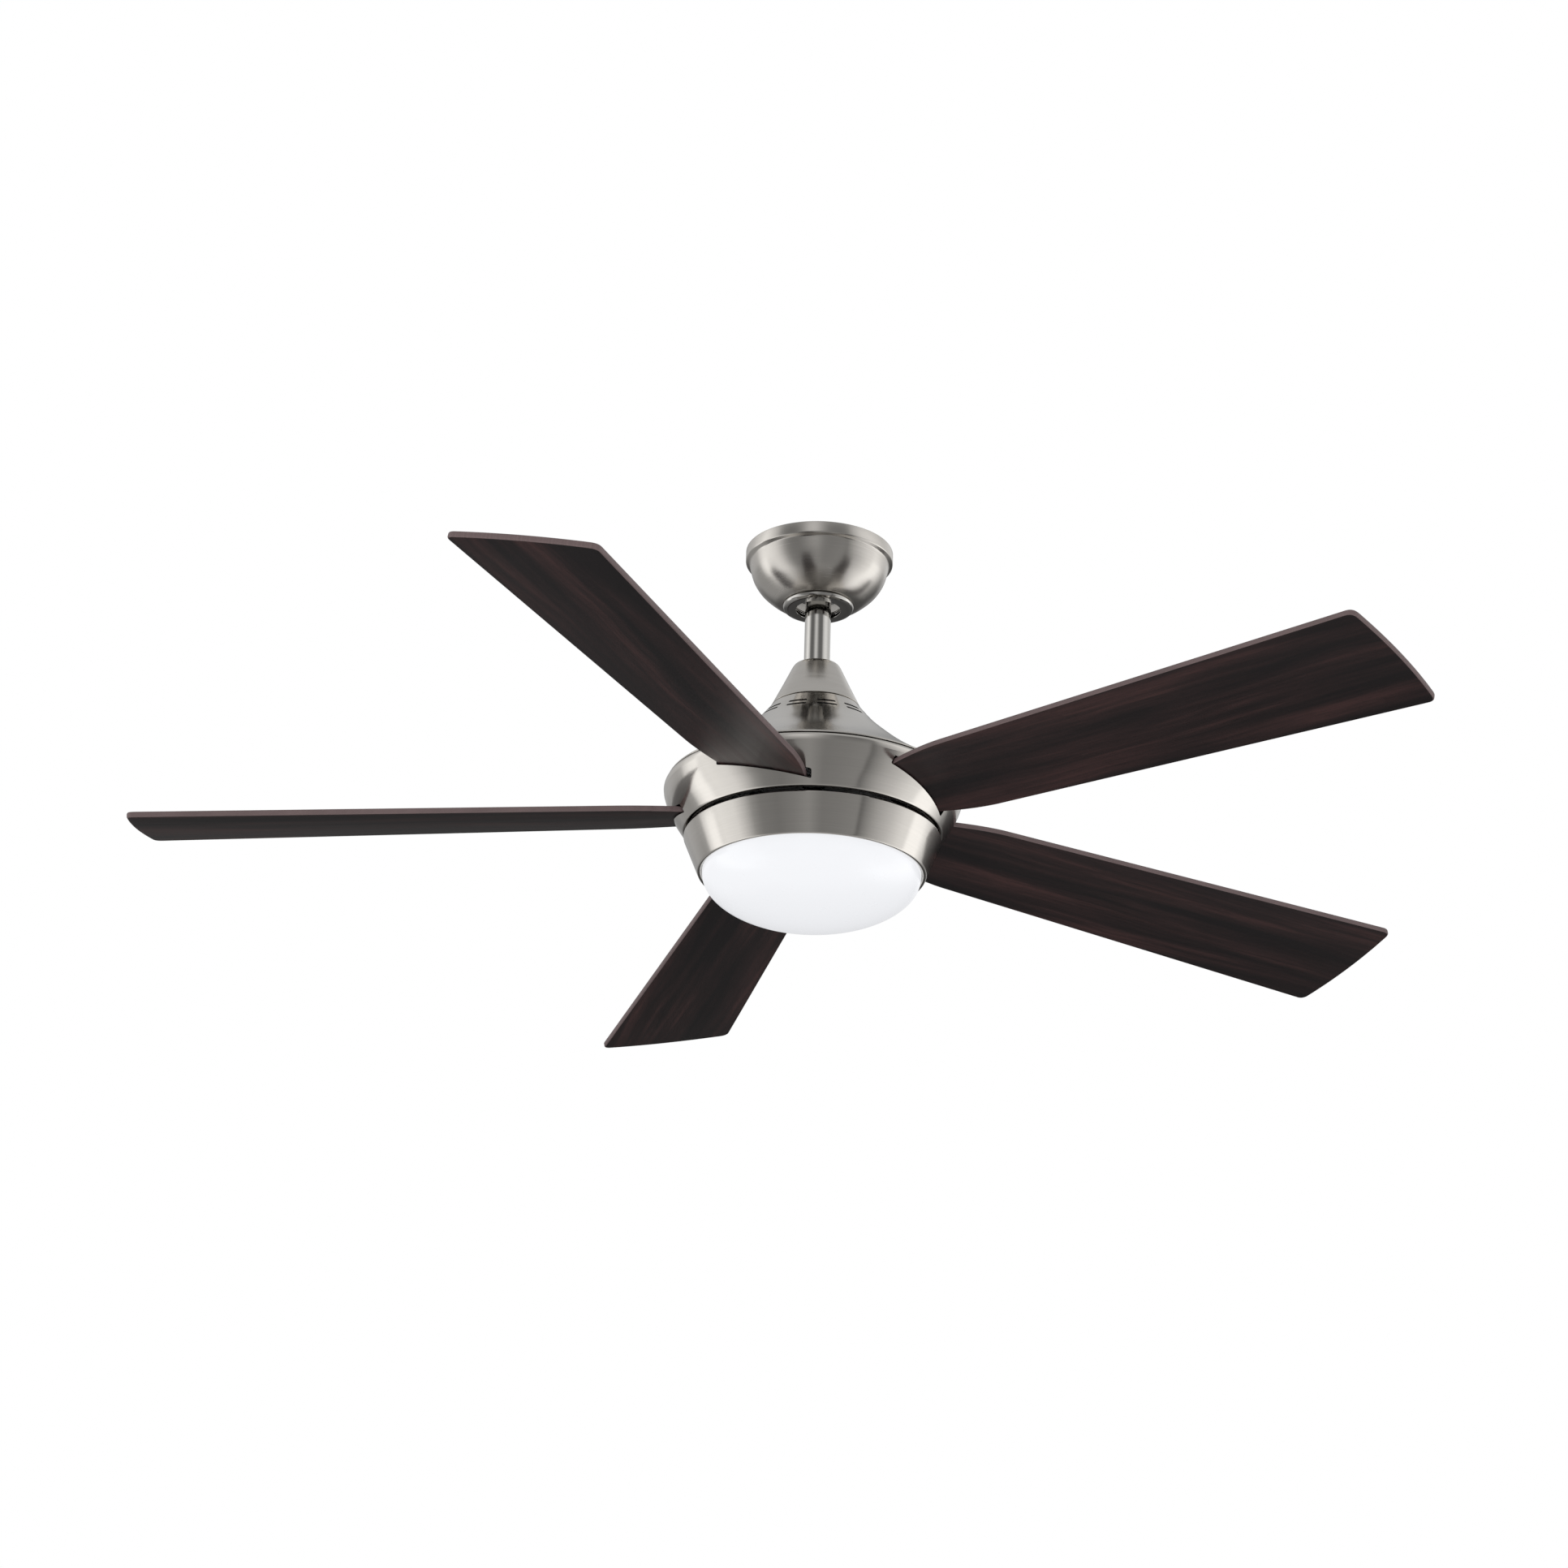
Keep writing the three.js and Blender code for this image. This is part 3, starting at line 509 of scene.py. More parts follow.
def spread_of(tree, value, low, high):
    """A 0 to 1 value carried to the span from low to high."""
    return node(tree, "ShaderNodeMapRange",
                {"Value": value, "To Min": low, "To Max": high}).outputs[0]


def stretched(tree, vector, scale, location=(0, 0, 0)):
    return node(tree, "ShaderNodeMapping",
                {"Vector": vector, "Scale": scale, "Location": location}).outputs[0]


def coordinates(tree, kind="Object"):
    return node(tree, "ShaderNodeTexCoord").outputs[kind]


def bump(tree, height, strength, distance=0.0002):
    return node(tree, "ShaderNodeBump", {"Height": height, "Strength": strength,
                                         "Distance": distance}).outputs[0]


_made = {}


def material(name, base, metallic=0.0, roughness=0.5, **sockets):
    """A material with one Principled shader. Returns it, its tree and its shader."""
    made = bpy.data.materials.new(name)
    made.use_nodes = True
    tree = made.node_tree
    shader = tree.nodes["Principled BSDF"]
    shader.inputs["Base Color"].default_value = (*base, 1)
    shader.inputs["Metallic"].default_value = metallic
    shader.inputs["Roughness"].default_value = roughness
    for key, value in sockets.items():
        shader.inputs[key.replace("_", " ")].default_value = value
    made.diffuse_color = (*base, 1)
    return made, tree, shader


def finish(maker):
    """Makes each finish once."""
    def cached():
        if maker.__name__ not in _made:
            _made[maker.__name__] = maker()
        return _made[maker.__name__]
    return cached


def turned_metal(name, base, roughness, anisotropy, relief):
    """Nickel brushed round the axis: fine lines that follow each turn, in gloss and in relief."""
    made, tree, shader = material(name, base, 1.0, roughness, Anisotropic=anisotropy,
                                  Anisotropic_Rotation=0.25)
    place = coordinates(tree)
    parts = node(tree, "ShaderNodeSeparateXYZ", {0: place}).outputs
    radius = node(tree, "ShaderNodeVectorMath", {0: stretched(tree, place, (1, 1, 0))},
                  operation="LENGTH").outputs["Value"]
    across = maths(tree, "ADD", parts["Z"], radius)
    lines = node(tree, "ShaderNodeCombineXYZ", {
        "X": maths(tree, "MULTIPLY", parts["X"], GRAIN_ROUND),
        "Y": maths(tree, "MULTIPLY", parts["Y"], GRAIN_ROUND),
        "Z": maths(tree, "MULTIPLY", across, GRAIN_ACROSS)}).outputs[0]
    brushed = noise(tree, lines, 1.0, 3.0, 0.6)
    cloudy = noise(tree, place, 26, 2.0)
    gloss = maths(tree, "ADD", spread_of(tree, brushed, -0.035, 0.035),
                  spread_of(tree, cloudy, -0.015, 0.015))
    put(tree, shader, {
        "Roughness": maths(tree, "ADD", gloss, roughness),
        "Base Color": between(tree, brushed, tinted(base, 0.93), tinted(base, 1.06)),
        "Normal": bump(tree, brushed, relief, 0.00006),
        "Tangent": node(tree, "ShaderNodeTangent", direction_type="RADIAL", axis="Z").outputs[0]})
    return made


@finish
def brushed_nickel():
    look = finishes()
    return turned_metal("brushed_nickel", tuple(look.nickel), look.nickel_roughness, 0.75, 0.02)


@finish
def canopy_nickel():
    """The same nickel with a coarser, softer brush."""
    look = finishes()
    return turned_metal("canopy_nickel", tuple(look.nickel), 2 * look.nickel_roughness, 0.7, 0.02)


@finish
def bright_nickel():
    look = finishes()
    return turned_metal("bright_nickel", tuple(look.bright), look.bright_roughness, 0.7, 0.03)


def worn_metal(name, base, roughness, grain, relief, variation=0.12):
    """Metal with a mottled colour, uneven gloss and a fine relief."""
    made, tree, shader = material(name, base, 1.0, roughness)
    place = coordinates(tree)
    mottled = noise(tree, place, grain, 5.0)
    fine = noise(tree, place, grain * 9, 3.0)
    put(tree, shader, {
        "Base Color": between(tree, mottled, tinted(base, 1 - variation),
                              tinted(base, 1 + variation)),
        "Roughness": spread_of(tree, fine, roughness - 0.1, roughness + 0.1),
        "Normal": bump(tree, fine, relief)})
    return made


@finish
def zinc_steel():
    """Zinc plating, with the facets of its crystals."""
    made, tree, shader = material("zinc_steel", (0.56, 0.57, 0.58), 1.0, 0.34)
    cells = node(tree, "ShaderNodeTexVoronoi", {"Vector": coordinates(tree), "Scale": 130})
    facet = node(tree, "ShaderNodeSeparateColor", {0: cells.outputs["Color"]}).outputs[0]
    put(tree, shader, {
        "Roughness": spread_of(tree, facet, 0.24, 0.46),
        "Base Color": between(tree, facet, (0.47, 0.48, 0.49), (0.63, 0.64, 0.65))})
    return made


@finish
def dark_steel():
    return worn_metal("blackened_steel", (0.055, 0.056, 0.06), 0.42, 60, 0.25, 0.25)


@finish
def cast_aluminium():
    return worn_metal("cast_aluminium", (0.5, 0.51, 0.52), 0.5, 90, 0.6)


@finish
def bearing_steel():
    return worn_metal("bearing_steel", (0.66, 0.67, 0.68), 0.2, 45, 0.05, 0.05)


@finish
def copper():
    """Enamelled wire: round turns side by side, each with a lacquer gloss. The colour darkens into
    the grooves between the turns: painted shade.
    """
    made, tree, shader = material("copper_winding", (0.45, 0.15, 0.06), 1.0, 0.33, Coat_Weight=0.6,
                                  Coat_Roughness=0.12)
    place = coordinates(tree)
    turns = node(tree, "ShaderNodeTexWave", {"Vector": place, "Scale": 260, "Distortion": 0.6,
                                             "Detail": 1.0}, bands_direction="Z").outputs[0]
    put(tree, shader, {
        # Painted shade: the dark end of this mix falls in the grooves between the turns.
        "Base Color": between(tree, turns, (0.2, 0.055, 0.02), (0.62, 0.24, 0.1)),
        "Normal": bump(tree, turns, 0.8, 0.0004)})
    return made


def moulded(name, base, roughness, grain=420):
    """Moulded plastic or enamel: an even colour with a fine orange-peel relief."""
    made, tree, shader = material(name, base, 0.0, roughness, IOR=1.5)
    place = coordinates(tree)
    peel = noise(tree, place, grain, 3.0)
    soft = noise(tree, place, 18, 2.0)
    put(tree, shader, {
        "Base Color": between(tree, soft, tinted(base, 0.93), tinted(base, 1.05)),
        "Roughness": spread_of(tree, peel, roughness - 0.08, roughness + 0.08),
        "Normal": bump(tree, peel, 0.12)})
    return made


@finish
def black_plastic():
    return moulded("black_moulding", (0.018, 0.018, 0.019), 0.42)


@finish
def white_plastic():
    return moulded("white_moulding", (0.78, 0.77, 0.73), 0.45)


@finish
def white_paint():
    return moulded("white_enamel", (0.82, 0.82, 0.8), 0.38, 260)


@finish
def light_board():
    return moulded("board_white", (0.85, 0.84, 0.78), 0.5, 150)


@finish
def light_chip():
    return moulded("light_chip", (0.86, 0.66, 0.18), 0.3, 900)


@finish
def sleeve():
    """Braided sleeving: two sets of crossing threads that wind round the leads. The colour is
    darker in the gaps between the threads: painted shade.
    """
    made, tree, shader = material("braided_sleeve", (0.03, 0.03, 0.032), 0.0, 0.62)
    place = coordinates(tree)
    threads = [node(tree, "ShaderNodeTexWave",
                    {"Vector": stretched(tree, place, (side, 1, 0.55)), "Scale": 420},
                    bands_direction="DIAGONAL").outputs[0] for side in (-1, 1)]
    woven = maths(tree, "MAXIMUM", *threads)
    put(tree, shader, {
        # Painted shade: the darker colour lies in the gaps between the threads.
        "Base Color": between(tree, woven, (0.012, 0.012, 0.013), (0.06, 0.06, 0.064)),
        "Normal": bump(tree, woven, 0.7, 0.0004)})
    return made


@finish
def espresso_wood():
    """Stained wood along each blade, on the blade's own map: broad streaks, narrow grain and fine
    pores."""
    look = finishes()
    made, tree, shader = material("espresso_wood", tuple(look.wood), 0.0, 0.4, IOR=1.38,
                                  Coat_Weight=0.06, Coat_Roughness=0.28)
    place = node(tree, "ShaderNodeUVMap", uv_map="grain").outputs[0]
    drift = noise(tree, stretched(tree, place, (3, 9, 1)), 1.0, 2.0)
    bent = node(tree, "ShaderNodeVectorMath", {0: place, 1: node(tree, "ShaderNodeCombineXYZ", {
        "Y": spread_of(tree, drift, -0.012, 0.012)}).outputs[0]}, operation="ADD").outputs[0]
    broad = noise(tree, stretched(tree, bent, (2.2, 34, 1)), 1.0, 4.0, 0.6)
    narrow = noise(tree, stretched(tree, bent, (5, 170, 1)), 1.0, 5.0, 0.65)
    pores = noise(tree, stretched(tree, bent, (42, 1100, 1)), 1.0, 3.0, 0.7)
    warm = ramp(tree, broad, [(0.38, 0.0), (0.52, 0.35), (0.66, 1.0)])
    grain = ramp(tree, narrow, [(0.34, 0.0), (0.62, 1.0)])
    amount = maths(tree, "MULTIPLY", warm, maths(tree, "MULTIPLY_ADD", grain, 0.7, 0.3))
    stained = between(tree, amount, tuple(look.wood), tuple(look.wood_streak))
    open_pores = ramp(tree, pores, [(0.3, 0.55), (0.46, 0.0)])
    height = maths(tree, "MULTIPLY_ADD", pores, 0.6, narrow)
    put(tree, shader, {
        "Base Color": between(tree, open_pores, stained, tinted(look.wood, 0.45)),
        "Roughness": spread_of(tree, narrow, 0.31, 0.5),
        "Normal": bump(tree, height, 0.22, 0.00025)})
    return made


@finish
def wood_edge_and_highlight():
    """The blades' edge band, with fine lines along it. Its lighter colour is partly the band's own
    tone and partly a painted highlight, standing in for the gloss the rounded edges catch.
    """
    look = finishes()
    made, tree, shader = material("wood_edge_and_highlight", tuple(look.wood_edge_and_highlight), 0.0, 0.5, IOR=1.35)
    place = node(tree, "ShaderNodeUVMap", uv_map="grain").outputs[0]
    fibre = noise(tree, stretched(tree, place, (9, 500, 1)), 1.0, 4.0, 0.6)
    # Partly a painted highlight: this lighter edge colour stands in part for gloss on the rounded
    # edges.
    edge = tuple(look.wood_edge_and_highlight)
    put(tree, shader, {
        "Base Color": between(tree, fibre, tinted(edge, 0.6), tinted(edge, 1.2)),
        "Normal": bump(tree, fibre, 0.15)})
    return made


@finish
def opal_glass():
    """Cased opal glass: a white body under a clear glossy skin, a little brighter where it is seen
    straight on. Its even glow is painted light: an emission that stands in for the soft studio
    light on the glass, with the body's own white kept dim under it."""
    look = finishes()
    # Painted light: the emission set here and its tint below stand in for the studio light on the
    # glass.
    made, tree, shader = material("opal_glass", tuple(look.glass), 0.0, 0.3, IOR=1.4,
                                  Coat_Weight=0.35, Coat_Roughness=0.06,
                                  Emission_Strength=look.glass_painted_glow)
    place = coordinates(tree)
    clouds = noise(tree, place, 22, 3.0)
    put(tree, shader, {
        "Base Color": between(tree, clouds, tinted(look.glass, 0.97), tuple(look.glass)),
        "Roughness": spread_of(tree, noise(tree, place, 60, 2.0), 0.24, 0.34),
        "Emission Color": (0.96, 0.97, 1.0)})
    return made


SLOT_FINISHES = {
    "nickel": brushed_nickel, "bright_nickel": bright_nickel, "zinc_steel": zinc_steel,
    "dark_steel": dark_steel, "bearing_steel": bearing_steel, "cast_aluminium": cast_aluminium,
    "copper": copper, "black_plastic": black_plastic, "white_plastic": white_plastic,
    "white_paint": white_paint, "led_board": light_board, "lead_cover": sleeve,
    "espresso_wood": espresso_wood, "opal_glass": opal_glass}


# ---- Screws and other shapes used more than once ----
def cross_recess(radius, deep):
    """A cross with straight sides, for the driver."""
    long, half = 0.66 * radius, 0.1 * radius
    quarter = np.array([(half, -long), (half, -half), (long, -half)])
    turns = [np.array([[math.cos(a), math.sin(a)], [-math.sin(a), math.cos(a)]])
             for a in np.arange(4) * TAU / 4]
    return prism(np.vstack([quarter @ turn for turn in turns]), [(0, -deep), (0, deep)])


def screw(head_radius, head_high, shank_radius, length):
    """A domed screw, head up at height 0 and shank below: the head is part of a flattened ball."""
    t = np.linspace(0, math.pi / 2, 9)
    dome = np.column_stack([head_radius * np.sin(t), head_high * (0.35 + 0.65 * np.cos(t))])
    thread = np.linspace(0, length - shank_radius, int(length * 3))
    ridges = shank_radius - 0.12 + 0.12 * np.abs(np.sin(math.pi * 1.25 * thread))
    shank = np.column_stack([ridges, -thread])
    point = [(0.0, -length)]
    profile = np.vstack([[(0, head_high)], dome[1:], [(head_radius, 0)], shank, point])
    return carved(turned(profile, 32),
                  moved(cross_recess(head_radius, 0.5 * head_high), at(z=head_high)))


def hexagon(radius, low, high):
    """A six-sided block with its corners chamfered."""
    angle = np.linspace(0, TAU, 6, endpoint=False)
    outline = np.column_stack([radius * np.cos(angle), radius * np.sin(angle)])
    return prism(outline, [(0.5, low), (0, low + 0.4), (0, high - 0.4), (0.5, high)])


def round_end(radius, half_width, angle, side):
    """Half a circle about the point at the angle on the large circle. side is 1 for the half ahead
    of that point and -1 for the half behind it."""
    turn = np.linspace(0, math.pi, 9)[1:-1, None]
    out = np.array([math.cos(angle), math.sin(angle)])
    ahead = np.array([-math.sin(angle), math.cos(angle)])
    return radius * out + half_width * side * (np.cos(turn) * out + np.sin(turn) * ahead)


def arc_slot(radius, half_width, start, end, low, high):
    """A slot that follows a circle, with round ends: from start to end in degrees."""
    a = np.radians(np.linspace(start, end, 17))
    circle = np.column_stack([np.cos(a), np.sin(a)])
    outline = np.vstack([(radius + half_width) * circle, round_end(radius, half_width, a[-1], 1),
                         (radius - half_width) * circle[::-1],
                         round_end(radius, half_width, a[0], -1)])
    return prism(outline, [(0, low), (0, high)])


def pierced(radius, x, y, low=-400, high=10):
    """A round cutter, upright at (x, y)."""
    return moved(rod(radius, low, high, 0.0), at(x, y))


def along_x(shape):
    return moved(shape, spun(90, "Y"))


def along_y(shape):
    return moved(shape, spun(-90, "X"))


def polar(radius, degrees):
    return radius * math.cos(math.radians(degrees)), radius * math.sin(math.radians(degrees))


# ---- Ceiling mount ----
def canopy_shape():
    curve = [[67.8, -18], [64.5, -29], [58.5, -39], [50, -47.5], [42, -53.5], [35, CANOPY_BOTTOM]]
    outer = (line([[CANOPY_RADIUS, 0], [CANOPY_RADIUS, -11.5], [68.6, -13.6]], 0.9)
             + spline(curve, 60) + line([[22.5, CANOPY_BOTTOM]], 0.4))
    holes = together(*(pierced(SCREW_HOLE, side * CANOPY_SCREW_X, 0, CANOPY_BOTTOM - 5.5,
                              CANOPY_BOTTOM + 6.5) for side in (-1, 1)))
    return carved(turned(sheet_profile(outer)), holes)


def trim_shape():
    """A dished ring, open towards the rod, whose top has two keyholes for the screw heads."""
    top = TRIM_TOP
    ring = revolved([[22, top - 4.9], [30, top - 5], [33.9, top - 3.5], [34.7, top - 1.4],
                     [34.4, top - 0.3], [33.6, top], [23, top], [23, top - 0.9], [33.4, top - 0.9],
                     [33, top - 3], [30, top - 4], [22, top - 3.9]], 0.7)
    cutters = []
    for angle in (0, 180):
        cutters.append(arc_slot(CANOPY_SCREW_X, 2.4, angle - TRIM_TWIST, angle, top - 2, top + 1))
        cutters.append(pierced(4.1, *polar(CANOPY_SCREW_X, angle - TRIM_TWIST), top - 2, top + 1))
    return carved(ring, *cutters)


class FAN_OT_ceiling_mount(bpy.types.Operator):
    """Makes the bracket, canopy, trim ring, canopy screws and remote receiver"""
    bl_idname = "fan.ceiling_mount"
    bl_label = "Ceiling mount"

    def execute(self, context):
        stand_in("hanger_bracket", refined("hanger_bracket", 0.5 * MM), "zinc_steel",
                 "ceiling_mount")
        stand_in("canopy", canopy_shape(), "nickel", "ceiling_mount", canopy_nickel())
        stand_in("canopy_trim_ring", trim_shape(), "bright_nickel", "trim_ring")
        body = screw(3.6, 1.8, 2, 11.3)
        for side, name in ((-1, "canopy_screw_left"), (1, "canopy_screw_right")):
            shape = moved(body, at(side * CANOPY_SCREW_X, 0, CANOPY_SCREW_HEIGHT), spun(180, "X"))
            stand_in(name, shape, "bright_nickel", "ceiling_mount")
        stand_in("remote_receiver", refined("remote_receiver", 0.8 * MM), "black_plastic",
                 "ceiling_mount")
        return {"FINISHED"}


# ---- Hanger ball, rod and leads ----
def hanger_ball_shape():
    angle = np.linspace(-1, 1, 33) * math.asin(BALL_HALF / BALL_RADIUS)
    outside = [(BALL_RADIUS * math.cos(a), BALL_HEIGHT + BALL_RADIUS * math.sin(a), 0.0)
               for a in angle]
    bore = line([(ROD_RADIUS + GAP, BALL_HEIGHT + z) for z in (BALL_HALF, -BALL_HALF)], 0.8)
    whole = turned(rounded(outside + bore), 96)
    cross = moved(along_x(rod(PIN_RADIUS + GAP, -30, 30, 0)), at(z=BALL_HEIGHT))
    screw_hole = moved(along_y(rod(SCREW_HOLE, 10, 25, 0)), at(z=BALL_SCREW_HEIGHT))
    return carved(whole, cross, screw_hole)


def downrod_shape():
    tube_shape = turned(rounded(line([[ROD_BORE, ROD_BOTTOM], [ROD_RADIUS, ROD_BOTTOM],
                                      [ROD_RADIUS, ROD_TOP], [ROD_BORE, ROD_TOP]], 0.5)), 96)
    hole = along_x(rod(PIN_RADIUS + GAP, -20, 20, 0))
    holes = [moved(hole, at(z=z)) for z in (BALL_HEIGHT, CLEVIS_HEIGHT)]
    return carved(tube_shape, *holes)


def harness_shape():
    """The sleeved leads: beside the pins, then on the axis through the hollow shaft."""
    points = [[6.8, -13.3], [6.8, -50], [6.8, -100], [6.8, -151], [3.4, -160], [0.3, -169],
              [0, -180], [0, -240], [0, -311]]
    curve = np.array(spline(points, 150))
    path = np.column_stack([np.zeros(len(curve)), curve[:, 0], curve[:, 1]])
    return tube(path, 3.0, 32)


class FAN_OT_hanger_rod(bpy.types.Operator):
    """Makes the hanger ball, its pins, the rod, the sleeved leads and their plug"""
    bl_idname = "fan.hanger_rod"
    bl_label = "Hanger ball and rod"

    def execute(self, context):
        pin = along_x(rod(PIN_RADIUS, -18, 18, 0.6))
        set_screw = carved(along_y(rod(2, 13, 17.4, 0.3)), along_y(hexagon(1, 15.8, 18)))
        stand_in("hanger_ball", hanger_ball_shape(), "black_plastic")
        stand_in("ball_cross_pin", moved(pin, at(z=BALL_HEIGHT)), "bearing_steel", "cross_pin")
        stand_in("ball_set_screw", moved(set_screw, at(z=BALL_SCREW_HEIGHT)), "dark_steel")
        stand_in("downrod", downrod_shape(), "bright_nickel")
        stand_in("wire_harness", harness_shape(), "lead_cover")
        stand_in("wire_plug", refined("wire_plug", 0.3 * MM), "white_plastic")
        return {"FINISHED"}


# ---- Coupling and its cover ----
def housing_screw_holes():
    return together(*(pierced(SCREW_HOLE, *polar(HOUSING_SCREWS, angle), PLATE_BOTTOM, PLATE_TOP)
                      for angle in HOUSING_SCREW_ANGLES))


def coupling_shape():
    inside, shelf, hole, top = 13, -165.8, 8.8, -171
    whole = revolved([[inside, -131], [17.5, -131], [17.5, top], [32, top], [32, top - 4.5],
                      [hole, top - 4.5], [hole, shelf], [inside, shelf]], 0.5, 96)
    pin_hole = moved(along_x(rod(PIN_RADIUS + GAP, -25, 25, 0)), at(z=CLEVIS_HEIGHT))
    set_hole = moved(along_y(rod(2.8, -25, 0, 0)), at(z=SET_SCREW_HEIGHT))
    screws = housing_screw_holes()
    return carved(whole, pin_hole, set_hole, screws)


def clevis_shape():
    t = np.linspace(0, math.pi / 2, 7)
    head = [(5 * math.sin(a), -21 + 1.4 * (1 - math.cos(a)), 0.0) for a in t]
    rest = line([[5, -18.2], [PIN_RADIUS, -18.2], [PIN_RADIUS, 23.2], [2.4, 24]], 0.25)
    profile = rounded([(0.0, -21.0, 0.0)] + head[1:] + rest + [(0.0, 24.0, 0.0)], closed=False)
    profile[0, 0] = profile[-1, 0] = 0
    pin = along_x(turned(profile, 48))
    clip_hole = moved(rod(1.3, -6, 6, 0, 24), at(x=CLIP_X))
    return moved(carved(pin, clip_hole), at(z=CLEVIS_HEIGHT))


def hairpin_shape():
    points = [[0, 9], [0, 0], [0, -8], [-2.2, -10.6], [-4.4, -8], [-4.6, -2], [-4.4, 4], [-6, 8]]
    curve = np.array(spline(points, 90))
    path = np.column_stack([np.full(len(curve), CLIP_X), curve[:, 0], curve[:, 1] + CLEVIS_HEIGHT])
    return tube(path, 0.8, 16)


def cover_shape():
    outer = line([[13.3, COVER_TOP], [20, COVER_TOP], [22.2, COVER_TOP - 1.2], [24, COVER_TOP - 4],
                  [33.5, -147], [43.6, COVER_BOTTOM]], 1.0)
    outer[0] = (*outer[0][:2], 0.3)
    outer[-1] = (*outer[-1][:2], 0.3)
    return turned(sheet_profile(outer))


class FAN_OT_coupling(bpy.types.Operator):
    """Makes the motor coupling with its pin, clip and set screw, and the cover on the rod"""
    bl_idname = "fan.coupling"
    bl_label = "Coupling and cover"

    def execute(self, context):
        shank = along_y(rod(2.5, -20, -13, 0.2))
        head = along_y(hexagon(4.6, -22.6, -18.4))
        set_screw = moved(carved(shank, head, how="UNION"), at(z=SET_SCREW_HEIGHT))
        stand_in("motor_coupling", coupling_shape(), "zinc_steel")
        stand_in("clevis_pin", clevis_shape(), "bearing_steel")
        stand_in("hairpin_clip", hairpin_shape(), "bearing_steel")
        stand_in("coupling_set_screw", set_screw, "dark_steel")
        stand_in("coupling_cover", cover_shape(), "nickel", "rod_cover")
        return {"FINISHED"}


# ---- Upper housing ----
def vent_cutter(height, radius):
    """A slit with round ends, on a circle: half circles at both ends of a straight run, drawn in
    angle and height and carried outwards."""
    half = VENT_HIGH / 2
    run = math.radians(VENT_SPAN / 2) * radius - half
    turn = np.linspace(-math.pi / 2, math.pi / 2, 9)
    right = np.column_stack([run + half * np.cos(turn), half * np.sin(turn)])
    across, up = np.vstack([right, -right]).T
    angle = across / radius
    loops = [np.column_stack([r * np.cos(angle), r * np.sin(angle), height + up])
             for r in (radius - 5, radius + 5)]
    return skin(np.array(loops))


def upper_housing_shape():
    curve = [[46.4, -172.6], [61, -190], [80, -207.5], [97, -221.5], [115, -234.5], [139, -250]]
    outer = (line([[20, HOUSING_TOP], [44.2, HOUSING_TOP]], 0.8) + spline(curve, 70)
             + line([[141.9, -251.4], [142.3, -253.1]], 0.5))
    screws = housing_screw_holes()
    slits = together(*(spread(vent_cutter(*row), VENT_COUNT, FIRST_VENT) for row in VENTS))
    return carved(turned(sheet_profile(outer)), screws, slits)


class FAN_OT_upper_housing(bpy.types.Operator):
    """Makes the flared upper housing with its vent slits, and its three screws"""
    bl_idname = "fan.upper_housing"
    bl_label = "Upper housing"

    def execute(self, context):
        stand_in("upper_housing", upper_housing_shape(), "nickel")
        body = screw(3.8, 2.0, 2, 6)
        for i, angle in enumerate(HOUSING_SCREW_ANGLES, 1):
            shape = moved(body, at(*polar(HOUSING_SCREWS, angle), HOUSING_TOP + GAP))
            stand_in(f"housing_screw_{i}", shape, "dark_steel")
        return {"FINISHED"}


# ---- Motor ----
def motor_cover_shape(side):
    """Half of the motor case, with twelve slots cut through its slope."""
    points = [[10.5, 24], [26, 24], [30, 21.5], [62, 18.5], [76, 12], [80, 6], [80, 0.2], [77, 0.2],
              [77, 5.5], [73.5, 10.2], [61, 15.7], [25.5, 18.3], [25.5, 11], [20.3, 11], [20.3, 22],
              [10.5, 22]]
    profile = rounded(line([[r, side * z] for r, z in points], 0.8))
    slot = moved(slab(14, 5, 20, 2), at(68, 0, side * 16))
    return moved(carved(turned(profile), spread(slot, 12, 15)), at(z=MOTOR_MIDDLE))


def stator_shape():
    """Punched sheets in a stack: the toothed outline, drawn in by a hair between two sheets."""
    teeth, back = 9, 30
    outline = []
    for i in range(teeth):
        a = 360 / teeth * i
        outline += [polar(back, a - 9), polar(55.5, a - 5), polar(57, a - 17), polar(61.4, a - 17),
                    polar(61.8, a - 6), polar(61.8, a + 6), polar(61.4, a + 17), polar(57, a + 17),
                    polar(55.5, a + 5), polar(back, a + 9)]
    levels = []
    for z in np.arange(-STACK_HALF, STACK_HALF - 0.1, 1.0):
        levels += [(0.12, z), (0, z + 0.15), (0, z + 0.85), (0.12, min(z + 1.0, STACK_HALF))]
    heights = sorted({round(z, 3): inset for inset, z in levels}.items())
    whole = prism(outline, [(inset, z) for z, inset in heights])
    return moved(carved(whole, rod(9.1, -9, 9, 0)), at(z=MOTOR_MIDDLE))


def hoop(inner, outer, half_high, corner):
    """A ring of square section with rounded corners, about height 0."""
    return revolved([[inner, -half_high], [outer, -half_high], [outer, half_high],
                     [inner, half_high]], corner, 72)


def bearing_shapes():
    balls = together(*(ball(2, (*polar(BALL_CIRCLE, 360 / BEARING_BALLS * i), 0), 12)
                       for i in range(BEARING_BALLS)))
    return {"inner": hoop(8.8, 11.6, 4.8, 0.5),
            "cage": carved(hoop(13.1, 15.1, 1.2, 0.2), balls, how="UNION"),
            "outer": hoop(16.6, 20, 4.8, 0.5)}


